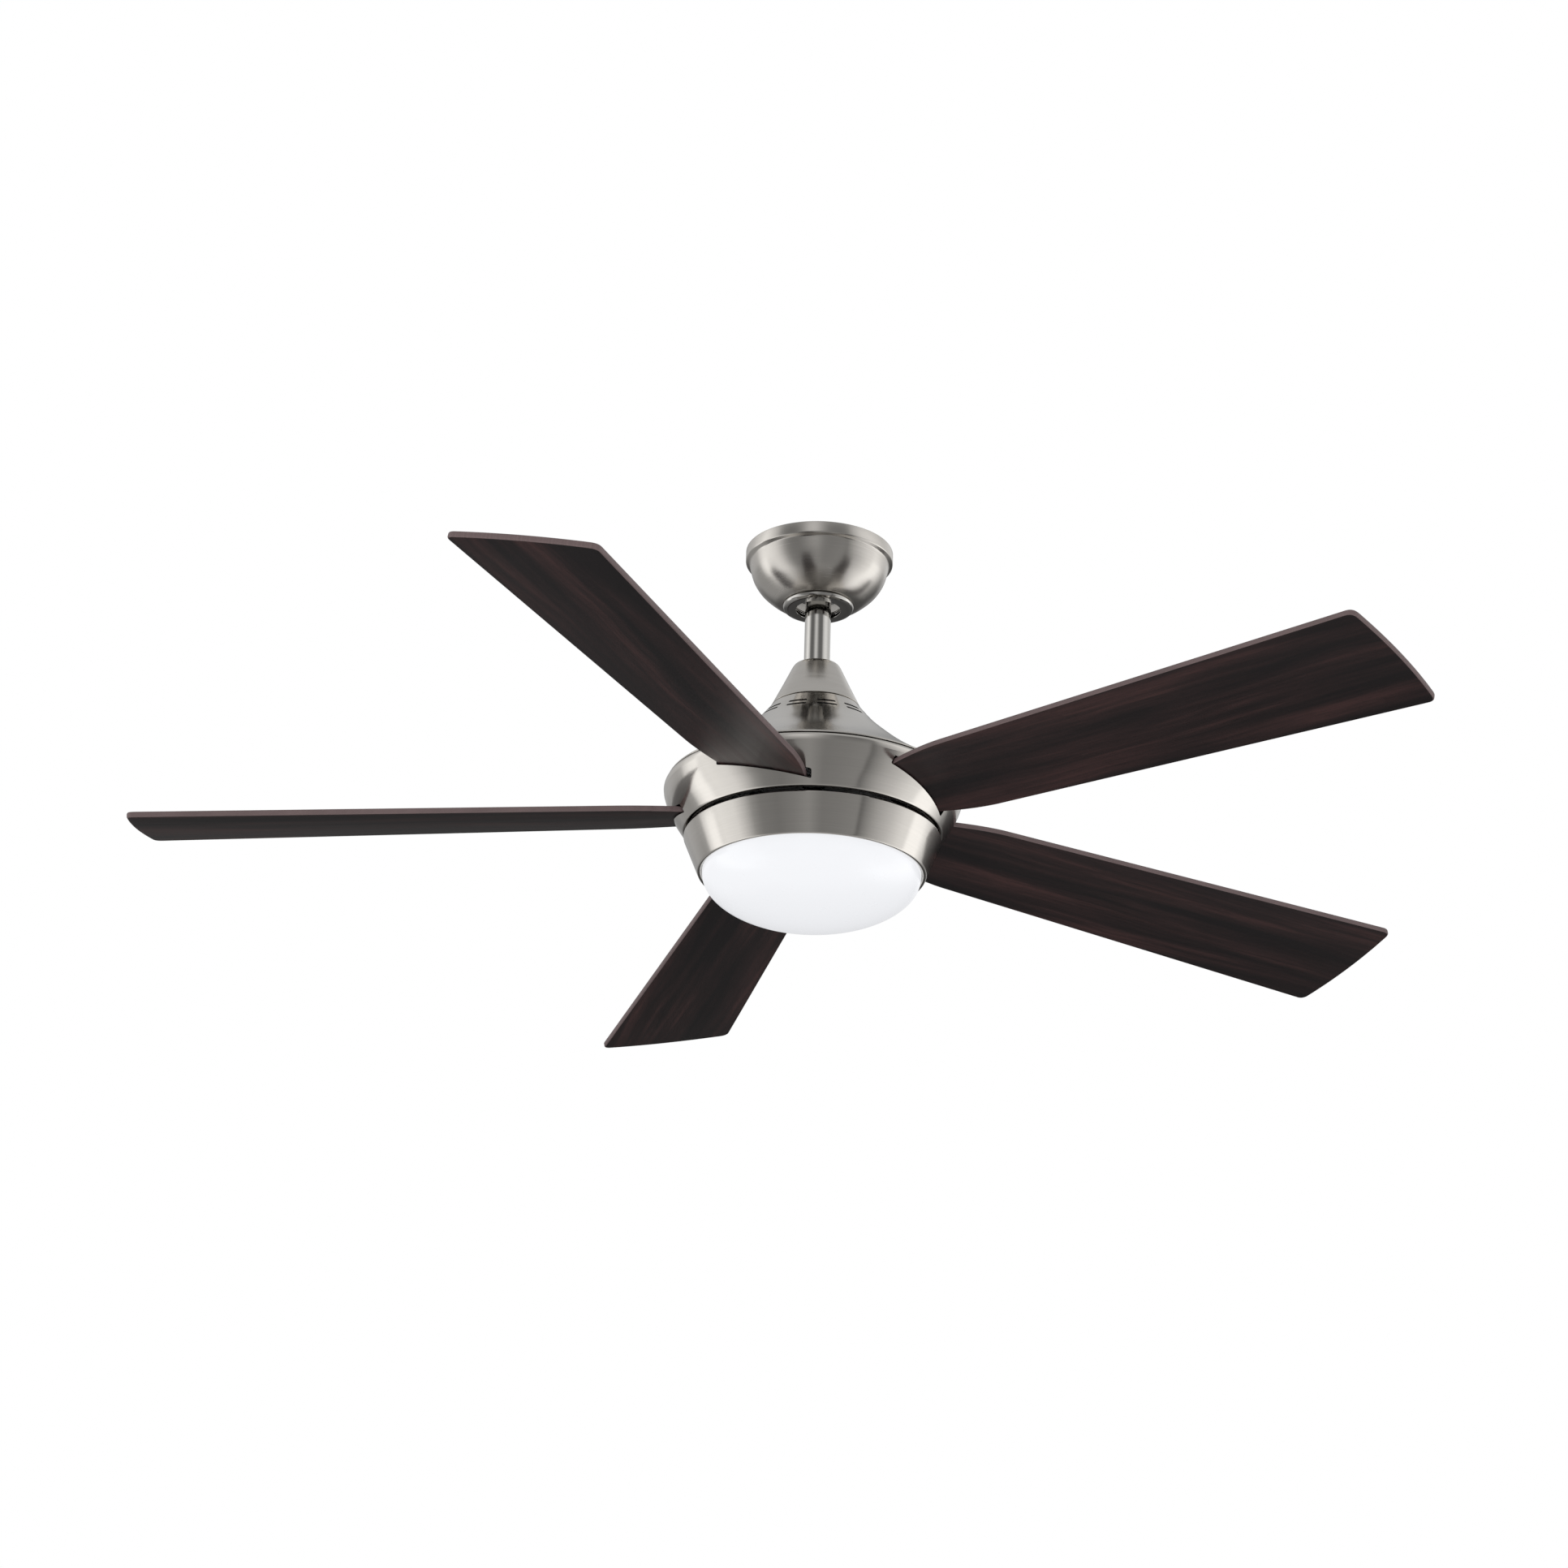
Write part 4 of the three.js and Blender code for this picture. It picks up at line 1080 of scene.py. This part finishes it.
class FAN_OT_motor(bpy.types.Operator):
    """Makes the fixed shaft and stator, the turning case and its bearings"""
    bl_idname = "fan.motor"
    bl_label = "Motor"

    def execute(self, context):
        shaft = revolved([[5.2, -168], [8.5, -168], [8.5, -291.7], [12, -291.7], [12, -296.7],
                          [8.5, -296.7], [8.5, -303.2], [5.2, -303.2]], 0.4, 64)
        stand_in("motor_shaft", shaft, "bearing_steel")
        for side, name in ((1, "motor_top_cover"), (-1, "motor_bottom_cover")):
            stand_in(name, motor_cover_shape(side), "cast_aluminium", "rotor")
        magnets = revolved([[62.4, -6], [75.5, -6], [75.5, 6], [62.4, 6]], 0.5)
        gaps = spread(moved(slab(1.2, 1.0, 20, 0.1), at(62.4)), 18)
        stand_in("rotor_ring", moved(carved(magnets, gaps), at(z=MOTOR_MIDDLE)), "dark_steel",
                 "rotor")
        stand_in("stator_core", stator_shape(), "zinc_steel")
        stand_in("stator_windings", refined("stator_windings", MM), "copper")
        for place, side in (("upper", 1), ("lower", -1)):
            for part, shape in bearing_shapes().items():
                body = "hanging" if part == "inner" else "rotor"
                placed = moved(shape, at(z=MOTOR_MIDDLE + side * BEARING_OFFSET))
                stand_in(f"{place}_bearing_{part}", placed, "bearing_steel", body)
        return {"FINISHED"}


# ---- Blades and what holds them ----
def blade_frame(number):
    """The pitched, drooping frame of a blade: X along it, Y across it, Z = 0 on its underside."""
    pitched = spun(BLADE_DROOP, "Y") @ spun(-BLADE_PITCH, "X")
    return spun(FIRST_BLADE + BLADE_STEP * number) @ at(z=BLADE_PLANE) @ pitched


def metre_frame(number):
    """The blade's frame for points in metres."""
    matrix = blade_frame(number).copy()
    matrix.translation *= MM
    return matrix


def blade_outline():
    """Straight sides with quadratic curves at the shoulders, the tip and its corners."""
    parts = [[(90, -33), (134, -44.5)],
             bezier((134, -44.5), (166, -52.2), (190, -53.6), 12),
             np.linspace((190, -53.6), (648, -71.6), 40)[1:],
             bezier((648, -71.6), (656.8, -72), (657.6, -63), 10),
             bezier((657.6, -63), (662.8, 4), (654.4, 63), 20),
             bezier((654.4, 63), (653.4, 72), (645, 71.6), 10),
             np.linspace((645, 71.6), (184, 53.8), 40)[1:],
             bezier((184, 53.8), (160, 52.4), (134, 45.5), 12),
             [(90, 33)]]
    return np.vstack(parts)


def blade_shape():
    """The outline at levels that follow a quarter circle at the lower and the upper edge."""
    radius = detail().edge_radius / MM
    t = np.linspace(0, math.pi / 2, 6)
    lower = [(radius * (1 - math.sin(a)), radius * (1 - math.cos(a))) for a in t]
    upper = [(inset, BLADE_THICK - z) for inset, z in lower[::-1]]
    holes = together(*(pierced(2.8, x, y, -5, 12) for x, y in BLADE_SCREWS))
    return carved(prism(blade_outline(), lower + upper), holes)


def mapped(mesh, shape, shift):
    """Gives each corner its place along and across the blade, in metres, plus the shift."""
    corners = np.zeros(len(mesh.loops), int)
    mesh.loops.foreach_get("vertex_index", corners)
    plan = (shape[0][:, :2] * MM)[corners] + shift
    mesh.uv_layers.new(name="grain").data.foreach_set("uv", plan.astype(np.float32).ravel())


class FAN_OT_blades(bpy.types.Operator):
    """Makes the five wooden blades, each with its own run of grain"""
    bl_idname = "fan.blades"
    bl_label = "Blades"

    def execute(self, context):
        flat = mesh_of(blade_shape(), "blade")
        plan = shape_of(flat)
        normals = np.zeros(len(flat.polygons) * 3)
        flat.polygons.foreach_get("normal", normals)
        edge = (np.abs(normals.reshape(-1, 3)[:, 2]) < FLAT_FACE).astype(np.int32)
        for number in range(BLADES):
            mesh = flat.copy()
            mapped(mesh, plan, np.array(GRAIN_SHIFT) * number)
            mesh.transform(metre_frame(number))
            mesh.materials.append(espresso_wood())
            mesh.materials.append(wood_edge_and_highlight())
            mesh.polygons.foreach_set("material_index", edge)
            stand_in(f"blade_{number + 1}", mesh, "espresso_wood", "rotor")
        return {"FINISHED"}


def clamp_shape():
    outline = rounded([(93, -23, 2), (104, -23, 3), (125, -4, 3), (125, 4, 3), (104, 23, 3),
                       (93, 23, 2)])
    plate = prism(outline, [(0.3, -1.9), (0, -1.6), (0, -0.6), (0.3, -0.3)])
    body = screw(4, 2.0, 2.2, 11.5)
    screws = [moved(body, at(x, y, -1.7), spun(180, "X")) for x, y in BLADE_SCREWS]
    return together(plate, *screws)


def flywheel_shape():
    hub_top = -251.8
    whole = revolved([[22, hub_top], [45, hub_top], [46, FLYWHEEL_TOP], [134, FLYWHEEL_TOP],
                      [134, FLYWHEEL_LOW], [22, FLYWHEEL_LOW]], 0.5)
    windows = together(*(pierced(17, *polar(92, FIRST_BLADE + BLADE_STEP * (i + 0.5)), -262, -250)
                         for i in range(BLADES)))
    return carved(whole, windows)


class FAN_OT_blade_holders(bpy.types.Operator):
    """Makes the flywheel, the five blade brackets with their screws, and the clamps"""
    bl_idname = "fan.blade_holders"
    bl_label = "Blade holders"

    def execute(self, context):
        stand_in("blade_flywheel", flywheel_shape(), "zinc_steel", "rotor")
        clamp = clamp_shape()
        foot_screw = screw(3.4, 1.9, 1.8, 6.5)
        for number in range(BLADES):
            angle = FIRST_BLADE + BLADE_STEP * number
            name = f"blade_bracket_{number + 1}"
            stand_in(name, refined(name, 0.5 * MM), "zinc_steel", "rotor")
            shape = moved(clamp, blade_frame(number))
            stand_in(f"blade_clamp_{number + 1}", shape, "dark_steel", "rotor")
            pair = together(*(moved(foot_screw, at(*polar(58, angle + side * 11), -262.4),
                                    spun(180, "X")) for side in (-1, 1)))
            piece(f"bracket_screws_{number + 1}", pair, "dark_steel", "rotor")
        return {"FINISHED"}


# ---- Drum ----
def drum_shape():
    curve = [[144, -262], [140.4, -273], [133.8, -286], [125.3, -299]]
    outer = (line([[122, DRUM_TOP], [141.6, DRUM_TOP], [143.9, DRUM_TOP - 1.3],
                   [144.5, DRUM_TOP - 3.6]], 1.2)
             + spline(curve, 40) + line([[124.2, DRUM_BOTTOM], [119.5, DRUM_BOTTOM]], 0.5))
    half_high = BLADE_THICK / 2 + 1.3
    mouth = rounded([(-MOUTH_HALF, -half_high, 1.6), (MOUTH_HALF, -half_high, 1.6),
                     (MOUTH_HALF, half_high, 1.6), (-MOUTH_HALF, half_high, 1.6)], steps=4)
    loops = [np.column_stack([np.full(len(mouth), x), mouth + (0.6, BLADE_THICK / 2)])
             for x in MOUTH_REACH]
    cutters = [moved(skin(np.array(loops)), blade_frame(i)) for i in range(BLADES)]
    return carved(turned(sheet_profile(outer)), *cutters)


class FAN_OT_drum(bpy.types.Operator):
    """Makes the drum with its five slanted blade slots"""
    bl_idname = "fan.drum"
    bl_label = "Drum"

    def execute(self, context):
        stand_in("drum_housing", drum_shape(), "nickel", "rotor")
        return {"FINISHED"}


# ---- Light kit ----
def light_ring_shape():
    points = [[117.8, LIGHT_TOP], [123, LIGHT_TOP], [123.9, LIGHT_TOP - 0.9], [110, -340],
              [109.2, -341.6], [107.6, -342.2], [106.2, -341.6], [105.8, -340], [106.4, -338.8],
              [108.4, -338.4], [122.2, LIGHT_TOP - 1.5], [117.8, LIGHT_TOP - 1.5]]
    return revolved(points, 0.7)


def light_pan_shape():
    low = PAN_FLOOR - WALL
    pan = revolved([[22, -299.8], [50, -299.8], [58, PAN_FLOOR], [121.3, PAN_FLOOR], [121.3, low],
                    [57, low], [49, -301.2], [22, -301.2]], 0.5)
    post = moved(rod(4, -329.7, PAN_FLOOR - 0.5, 0.4), at(75))
    return carved(pan, spread(post, 3, 90), how="UNION")


def retainer_shape():
    top = PAN_FLOOR - WALL - GAP
    body = revolved([[107.8, top], [109.2, top], [109.2, -335.5], [99.5, -335.5], [99.5, -334],
                     [107.8, -334]], 0.4)
    notches = [arc_slot(99.9, 3.1, angle - 8, angle + 8, -336.5, -333) for angle in NOTCH_ANGLES]
    return carved(body, *notches)


def board_shapes():
    """The white disc, and the light chips under it in two circles."""
    disc = rod(86, -331.6, -330, 0.3, detail().segments)
    chips = [moved(slab(5, 5, 1.2, 0.5), spun(360 / count * i), at(radius, 0, -332.3))
             for radius, count in CHIP_CIRCLES for i in range(count)]
    return disc, together(*chips)


class FAN_OT_light_kit(bpy.types.Operator):
    """Makes the pan, plate, nut, ring, driver, board and retainer of the light"""
    bl_idname = "fan.light_kit"
    bl_label = "Light kit"

    def execute(self, context):
        plate = revolved([[8.8, -299.5], [55, -299.5], [55, -297], [8.8, -297]], 0.4, 96)
        nut = carved(hexagon(14.5, -303, -299.8), pierced(9.1, 0, 0, -304, -299))
        stand_in("light_mount_plate", plate, "zinc_steel")
        stand_in("light_plate_nut", nut, "bearing_steel")
        stand_in("light_pan", light_pan_shape(), "white_paint")
        stand_in("light_ring", light_ring_shape(), "nickel")
        stand_in("led_driver", refined("led_driver", 0.8 * MM), "white_plastic")
        disc, chips = board_shapes()
        stand_in("led_board", disc, "led_board")
        piece("light_chips", chips, "led_board", finish=light_chip())
        stand_in("glass_retainer", retainer_shape(), "white_paint")
        body = screw(3.6, 1.9, 1.8, 6)
        screws = together(*(moved(body, at(*polar(PAN_SCREWS, angle), -301.3), spun(180, "X"))
                            for angle in PAN_SCREW_ANGLES))
        piece("pan_screws", screws, "dark_steel")
        return {"FINISHED"}


# ---- Glass ----
def glass_shape():
    """Half an ellipse outside and inside, r = a sin t and z = rim - b cos t, under a neck."""
    t = np.linspace(0, math.pi / 2, 49)
    outside = [(GLASS_RADIUS * math.sin(a), GLASS_RIM - GLASS_DEPTH * math.cos(a), 0.0) for a in t]
    width, depth = GLASS_RADIUS - GLASS_WALL, GLASS_DEPTH - GLASS_WALL
    inside = [(width * math.sin(a), GLASS_RIM + 0.6 - depth * math.cos(a), 0.0) for a in t[::-1]]
    neck = line([[GLASS_RADIUS, -339.4], [98.2, -337.4], [98.2, -330.4], [95.7, -330.4],
                 [95.7, -338.4]], 0.9)
    profile = rounded(outside + neck + inside, closed=False)
    profile[0, 0] = profile[-1, 0] = 0
    lugs = [arc_slot(99.3, 2.6, angle - 5, angle + 5, -333.5, -331) for angle in LUG_ANGLES]
    return carved(turned(profile), *lugs, how="UNION")


class FAN_OT_glass(bpy.types.Operator):
    """Makes the opal glass bowl with its three lugs"""
    bl_idname = "fan.glass"
    bl_label = "Glass bowl"

    def execute(self, context):
        stand_in("glass_bowl", glass_shape(), "opal_glass", "glass", angle=40)
        return {"FINISHED"}


# ---- Stage ----
# Brightness that metal sees round the horizon: (degrees, brightness), where 0 degrees is behind the
# viewer and more is to the right.
LOW_PANELS = ((-180, 0.08), (-156, 0.12), (-142, 0.46), (-121, 0.45), (-114, 0.55), (-110, 1.2),
              (-103, 1.7), (-96, 1.75), (-91, 1.35), (-86, 1.4), (-70, 1.25), (-60, 0.85),
              (-52, 0.46), (-44, 0.32), (-28, 0.28), (-14, 0.34), (0, 0.42), (12, 0.3), (28, 0.33),
              (45, 0.38), (48, 0.2), (52, 0.34), (64, 0.62), (79, 0.9), (93, 1.25), (101, 1.35),
              (105, 1.8), (120, 1.8), (133, 1.0), (143, 0.35), (156, 0.1), (180, 0.08))
HIGH_PANELS = ((-180, 0.3), (-140, 0.65), (-121, 0.8), (-109, 1.1), (-101, 1.1), (-91, 1.6),
               (-81, 1.4), (-73, 1.1), (-65, 0.85), (-60, 0.45), (-52, 0.26), (-40, 0.2),
               (-30, 0.28), (-22, 0.5), (-12, 0.95), (-3, 1.0), (5, 0.7), (12, 0.42), (20, 0.25),
               (38, 0.22), (48, 0.32), (55, 0.75), (72, 1.25), (88, 1.3), (104, 1.1), (120, 0.85),
               (140, 0.95), (160, 0.9), (180, 0.3))
SKY = (0.64, 0.645, 0.65)
GROUND = (0.5, 0.5, 0.5)
# Heights in the unit sphere of directions, from where a change begins to where it is complete.
HIGH_BAND, SKY_BAND, GROUND_BAND = (0.0, 0.3), (0.5, 0.75), (-0.75, -0.92)
DIFFUSE_LIGHT = 0.82
BACKDROP = 1.0
CAMERA_PLACE = (0.2693, -3.6659, -1.7938)
CAMERA_YAW, CAMERA_PITCH, CAMERA_ROLL = -4.65, 22.811, 1.6
CAMERA_LENS, CAMERA_SENSOR = 94.9, 36
FLOOR_HALF, FLOOR_POINTS = 9, 13
LIGHT_TARGET = (0, 0, -0.3)


def share_of(tree, value, start, end):
    """0 where the value is at start, 1 where it is at end."""
    return node(tree, "ShaderNodeMapRange",
                {"Value": value, "From Min": start, "From Max": end}).outputs[0]


def studio_world():
    """White to the camera, even light for matt surfaces, and soft tall panels for glossy ones."""
    world = bpy.data.worlds.new("studio")
    world.use_nodes = True
    tree = world.node_tree
    tree.nodes.clear()
    out = node(tree, "ShaderNodeOutputWorld")
    way = node(tree, "ShaderNodeSeparateXYZ", {0: coordinates(tree, "Generated")})
    x, y, z = (way.outputs[i] for i in range(3))
    azimuth = maths(tree, "ARCTAN2", x, maths(tree, "MULTIPLY", y, -1))
    turn = maths(tree, "MULTIPLY_ADD", azimuth, 1 / TAU, 0.5)
    low, high = (ramp(tree, turn, [(degrees / 360 + 0.5, value) for degrees, value in panels])
                 for panels in (LOW_PANELS, HIGH_PANELS))
    panels = between(tree, share_of(tree, z, *HIGH_BAND), low, high)
    grounded = between(tree, share_of(tree, z, *GROUND_BAND), panels, GROUND)
    seen = between(tree, share_of(tree, z, *SKY_BAND), grounded, SKY)
    paths = node(tree, "ShaderNodeLightPath").outputs
    lit = between(tree, paths["Is Diffuse Ray"], seen, (DIFFUSE_LIGHT,) * 3)
    final = between(tree, paths["Is Camera Ray"], lit, (BACKDROP,) * 3)
    background = node(tree, "ShaderNodeBackground", {"Color": final})
    tree.links.new(background.outputs[0], out.inputs[0])
    bpy.context.scene.world = world


def studio_floor():
    """A pale floor that is seen from above only, so that it never hides the fan's underside."""
    look = bpy.context.scene.fan_stage
    steps = np.linspace(-FLOOR_HALF, FLOOR_HALF, FLOOR_POINTS)
    x, y = np.meshgrid(steps, steps)
    points = np.column_stack([x.ravel(), y.ravel(), np.full(x.size, look.floor_height)])
    grid = np.arange(x.size).reshape(x.shape)
    faces = np.stack([grid[:-1, :-1], grid[:-1, 1:], grid[1:, 1:], grid[1:, :-1]],
                     -1).reshape(-1, 4)
    mesh = bpy.data.meshes.new("studio_floor")
    mesh.from_pydata(points.tolist(), [], faces.tolist())
    made, tree, shader = material("studio_floor", tuple(look.floor), 0.0, 0.85)
    grain = noise(tree, coordinates(tree), 3.0, 3.0)
    pale = tuple(look.floor)
    put(tree, shader, {"Base Color": between(tree, grain, tinted(pale, 0.985), pale)})
    side = node(tree, "ShaderNodeNewGeometry").outputs["Backfacing"]
    clear = node(tree, "ShaderNodeBsdfTransparent")
    mix = node(tree, "ShaderNodeMixShader", {0: side, 1: shader.outputs[0], 2: clear.outputs[0]})
    tree.links.new(mix.outputs[0], tree.nodes["Material Output"].inputs[0])
    mesh.materials.append(made)
    floor = object_of(mesh, "studio_floor")
    floor.visible_glossy = False


def soft_light(name, place, size, power):
    """A large area light that faces the fan."""
    light = bpy.data.lights.new(name, "AREA")
    light.shape, light.size, light.energy = "DISK", size, power
    made = object_of(light, name)
    made.location = place
    made.rotation_euler = (Vector(LIGHT_TARGET) - Vector(place)).to_track_quat("-Z", "Y").to_euler()
    made.visible_glossy = False


def studio_camera():
    """The camera stands below the fan and looks up at it, rolled a little."""
    yaw, pitch, roll = (math.radians(a) for a in (CAMERA_YAW, CAMERA_PITCH, CAMERA_ROLL))
    level = math.cos(pitch)
    ahead = Vector((math.sin(yaw) * level, math.cos(yaw) * level, math.sin(pitch)))
    right = Vector((math.cos(yaw), -math.sin(yaw), 0))
    up = right.cross(ahead)
    side = math.cos(roll) * right + math.sin(roll) * up
    top = -math.sin(roll) * right + math.cos(roll) * up
    data = bpy.data.cameras.new("camera")
    data.lens, data.sensor_width = CAMERA_LENS, CAMERA_SENSOR
    camera = object_of(data, "camera")
    facing = Matrix((side, top, -ahead)).transposed().to_4x4()
    camera.matrix_world = Matrix.Translation(CAMERA_PLACE) @ facing
    bpy.context.scene.camera = camera


class FAN_OT_stage(bpy.types.Operator):
    """Makes the floor, the soft lights, the surroundings and the camera"""
    bl_idname = "fan.stage"
    bl_label = "Stage"

    def execute(self, context):
        look = context.scene.fan_stage
        context.scene.view_settings.view_transform = "Standard"
        studio_world()
        studio_floor()
        soft_light("key_light", (-1.6, -2.6, -1.4), 1.8, look.key_power)
        soft_light("fill_light", (2.0, -2.0, -1.7), 1.6, look.fill_power)
        studio_camera()
        return {"FINISHED"}


# ---- Panel and registration ----
OPERATORS = (FAN_OT_ceiling_mount, FAN_OT_hanger_rod, FAN_OT_coupling, FAN_OT_upper_housing,
             FAN_OT_motor, FAN_OT_blades, FAN_OT_blade_holders, FAN_OT_drum, FAN_OT_light_kit,
             FAN_OT_glass, FAN_OT_stage)


class FAN_PT_parts(bpy.types.Panel):
    """Lists the fan's pieces and the values behind them"""
    bl_label = "Ceiling Fan"
    bl_idname = "FAN_PT_parts"
    bl_space_type = "VIEW_3D"
    bl_region_type = "UI"
    bl_category = "Fan"

    def draw(self, context):
        column = self.layout.column()
        for operator in OPERATORS:
            column.operator(operator.bl_idname)
        for group in (context.scene.fan_detail, context.scene.fan_finish, context.scene.fan_stage):
            box = self.layout.box()
            for name in type(group).__annotations__:
                box.prop(group, name)


CLASSES = (FanDetail, FanFinish, FanStage, *OPERATORS, FAN_PT_parts)
GROUPS = {"fan_detail": FanDetail, "fan_finish": FanFinish, "fan_stage": FanStage}


def register():
    for cls in CLASSES:
        bpy.utils.register_class(cls)
    for name, group in GROUPS.items():
        setattr(bpy.types.Scene, name, PointerProperty(type=group))


def unregister():
    for name in GROUPS:
        delattr(bpy.types.Scene, name)
    for cls in reversed(CLASSES):
        bpy.utils.unregister_class(cls)


def main():
    register()
    for operator in OPERATORS:
        group, name = operator.bl_idname.split(".")
        getattr(getattr(bpy.ops, group), name)()


if __name__ == "__main__":
    main()
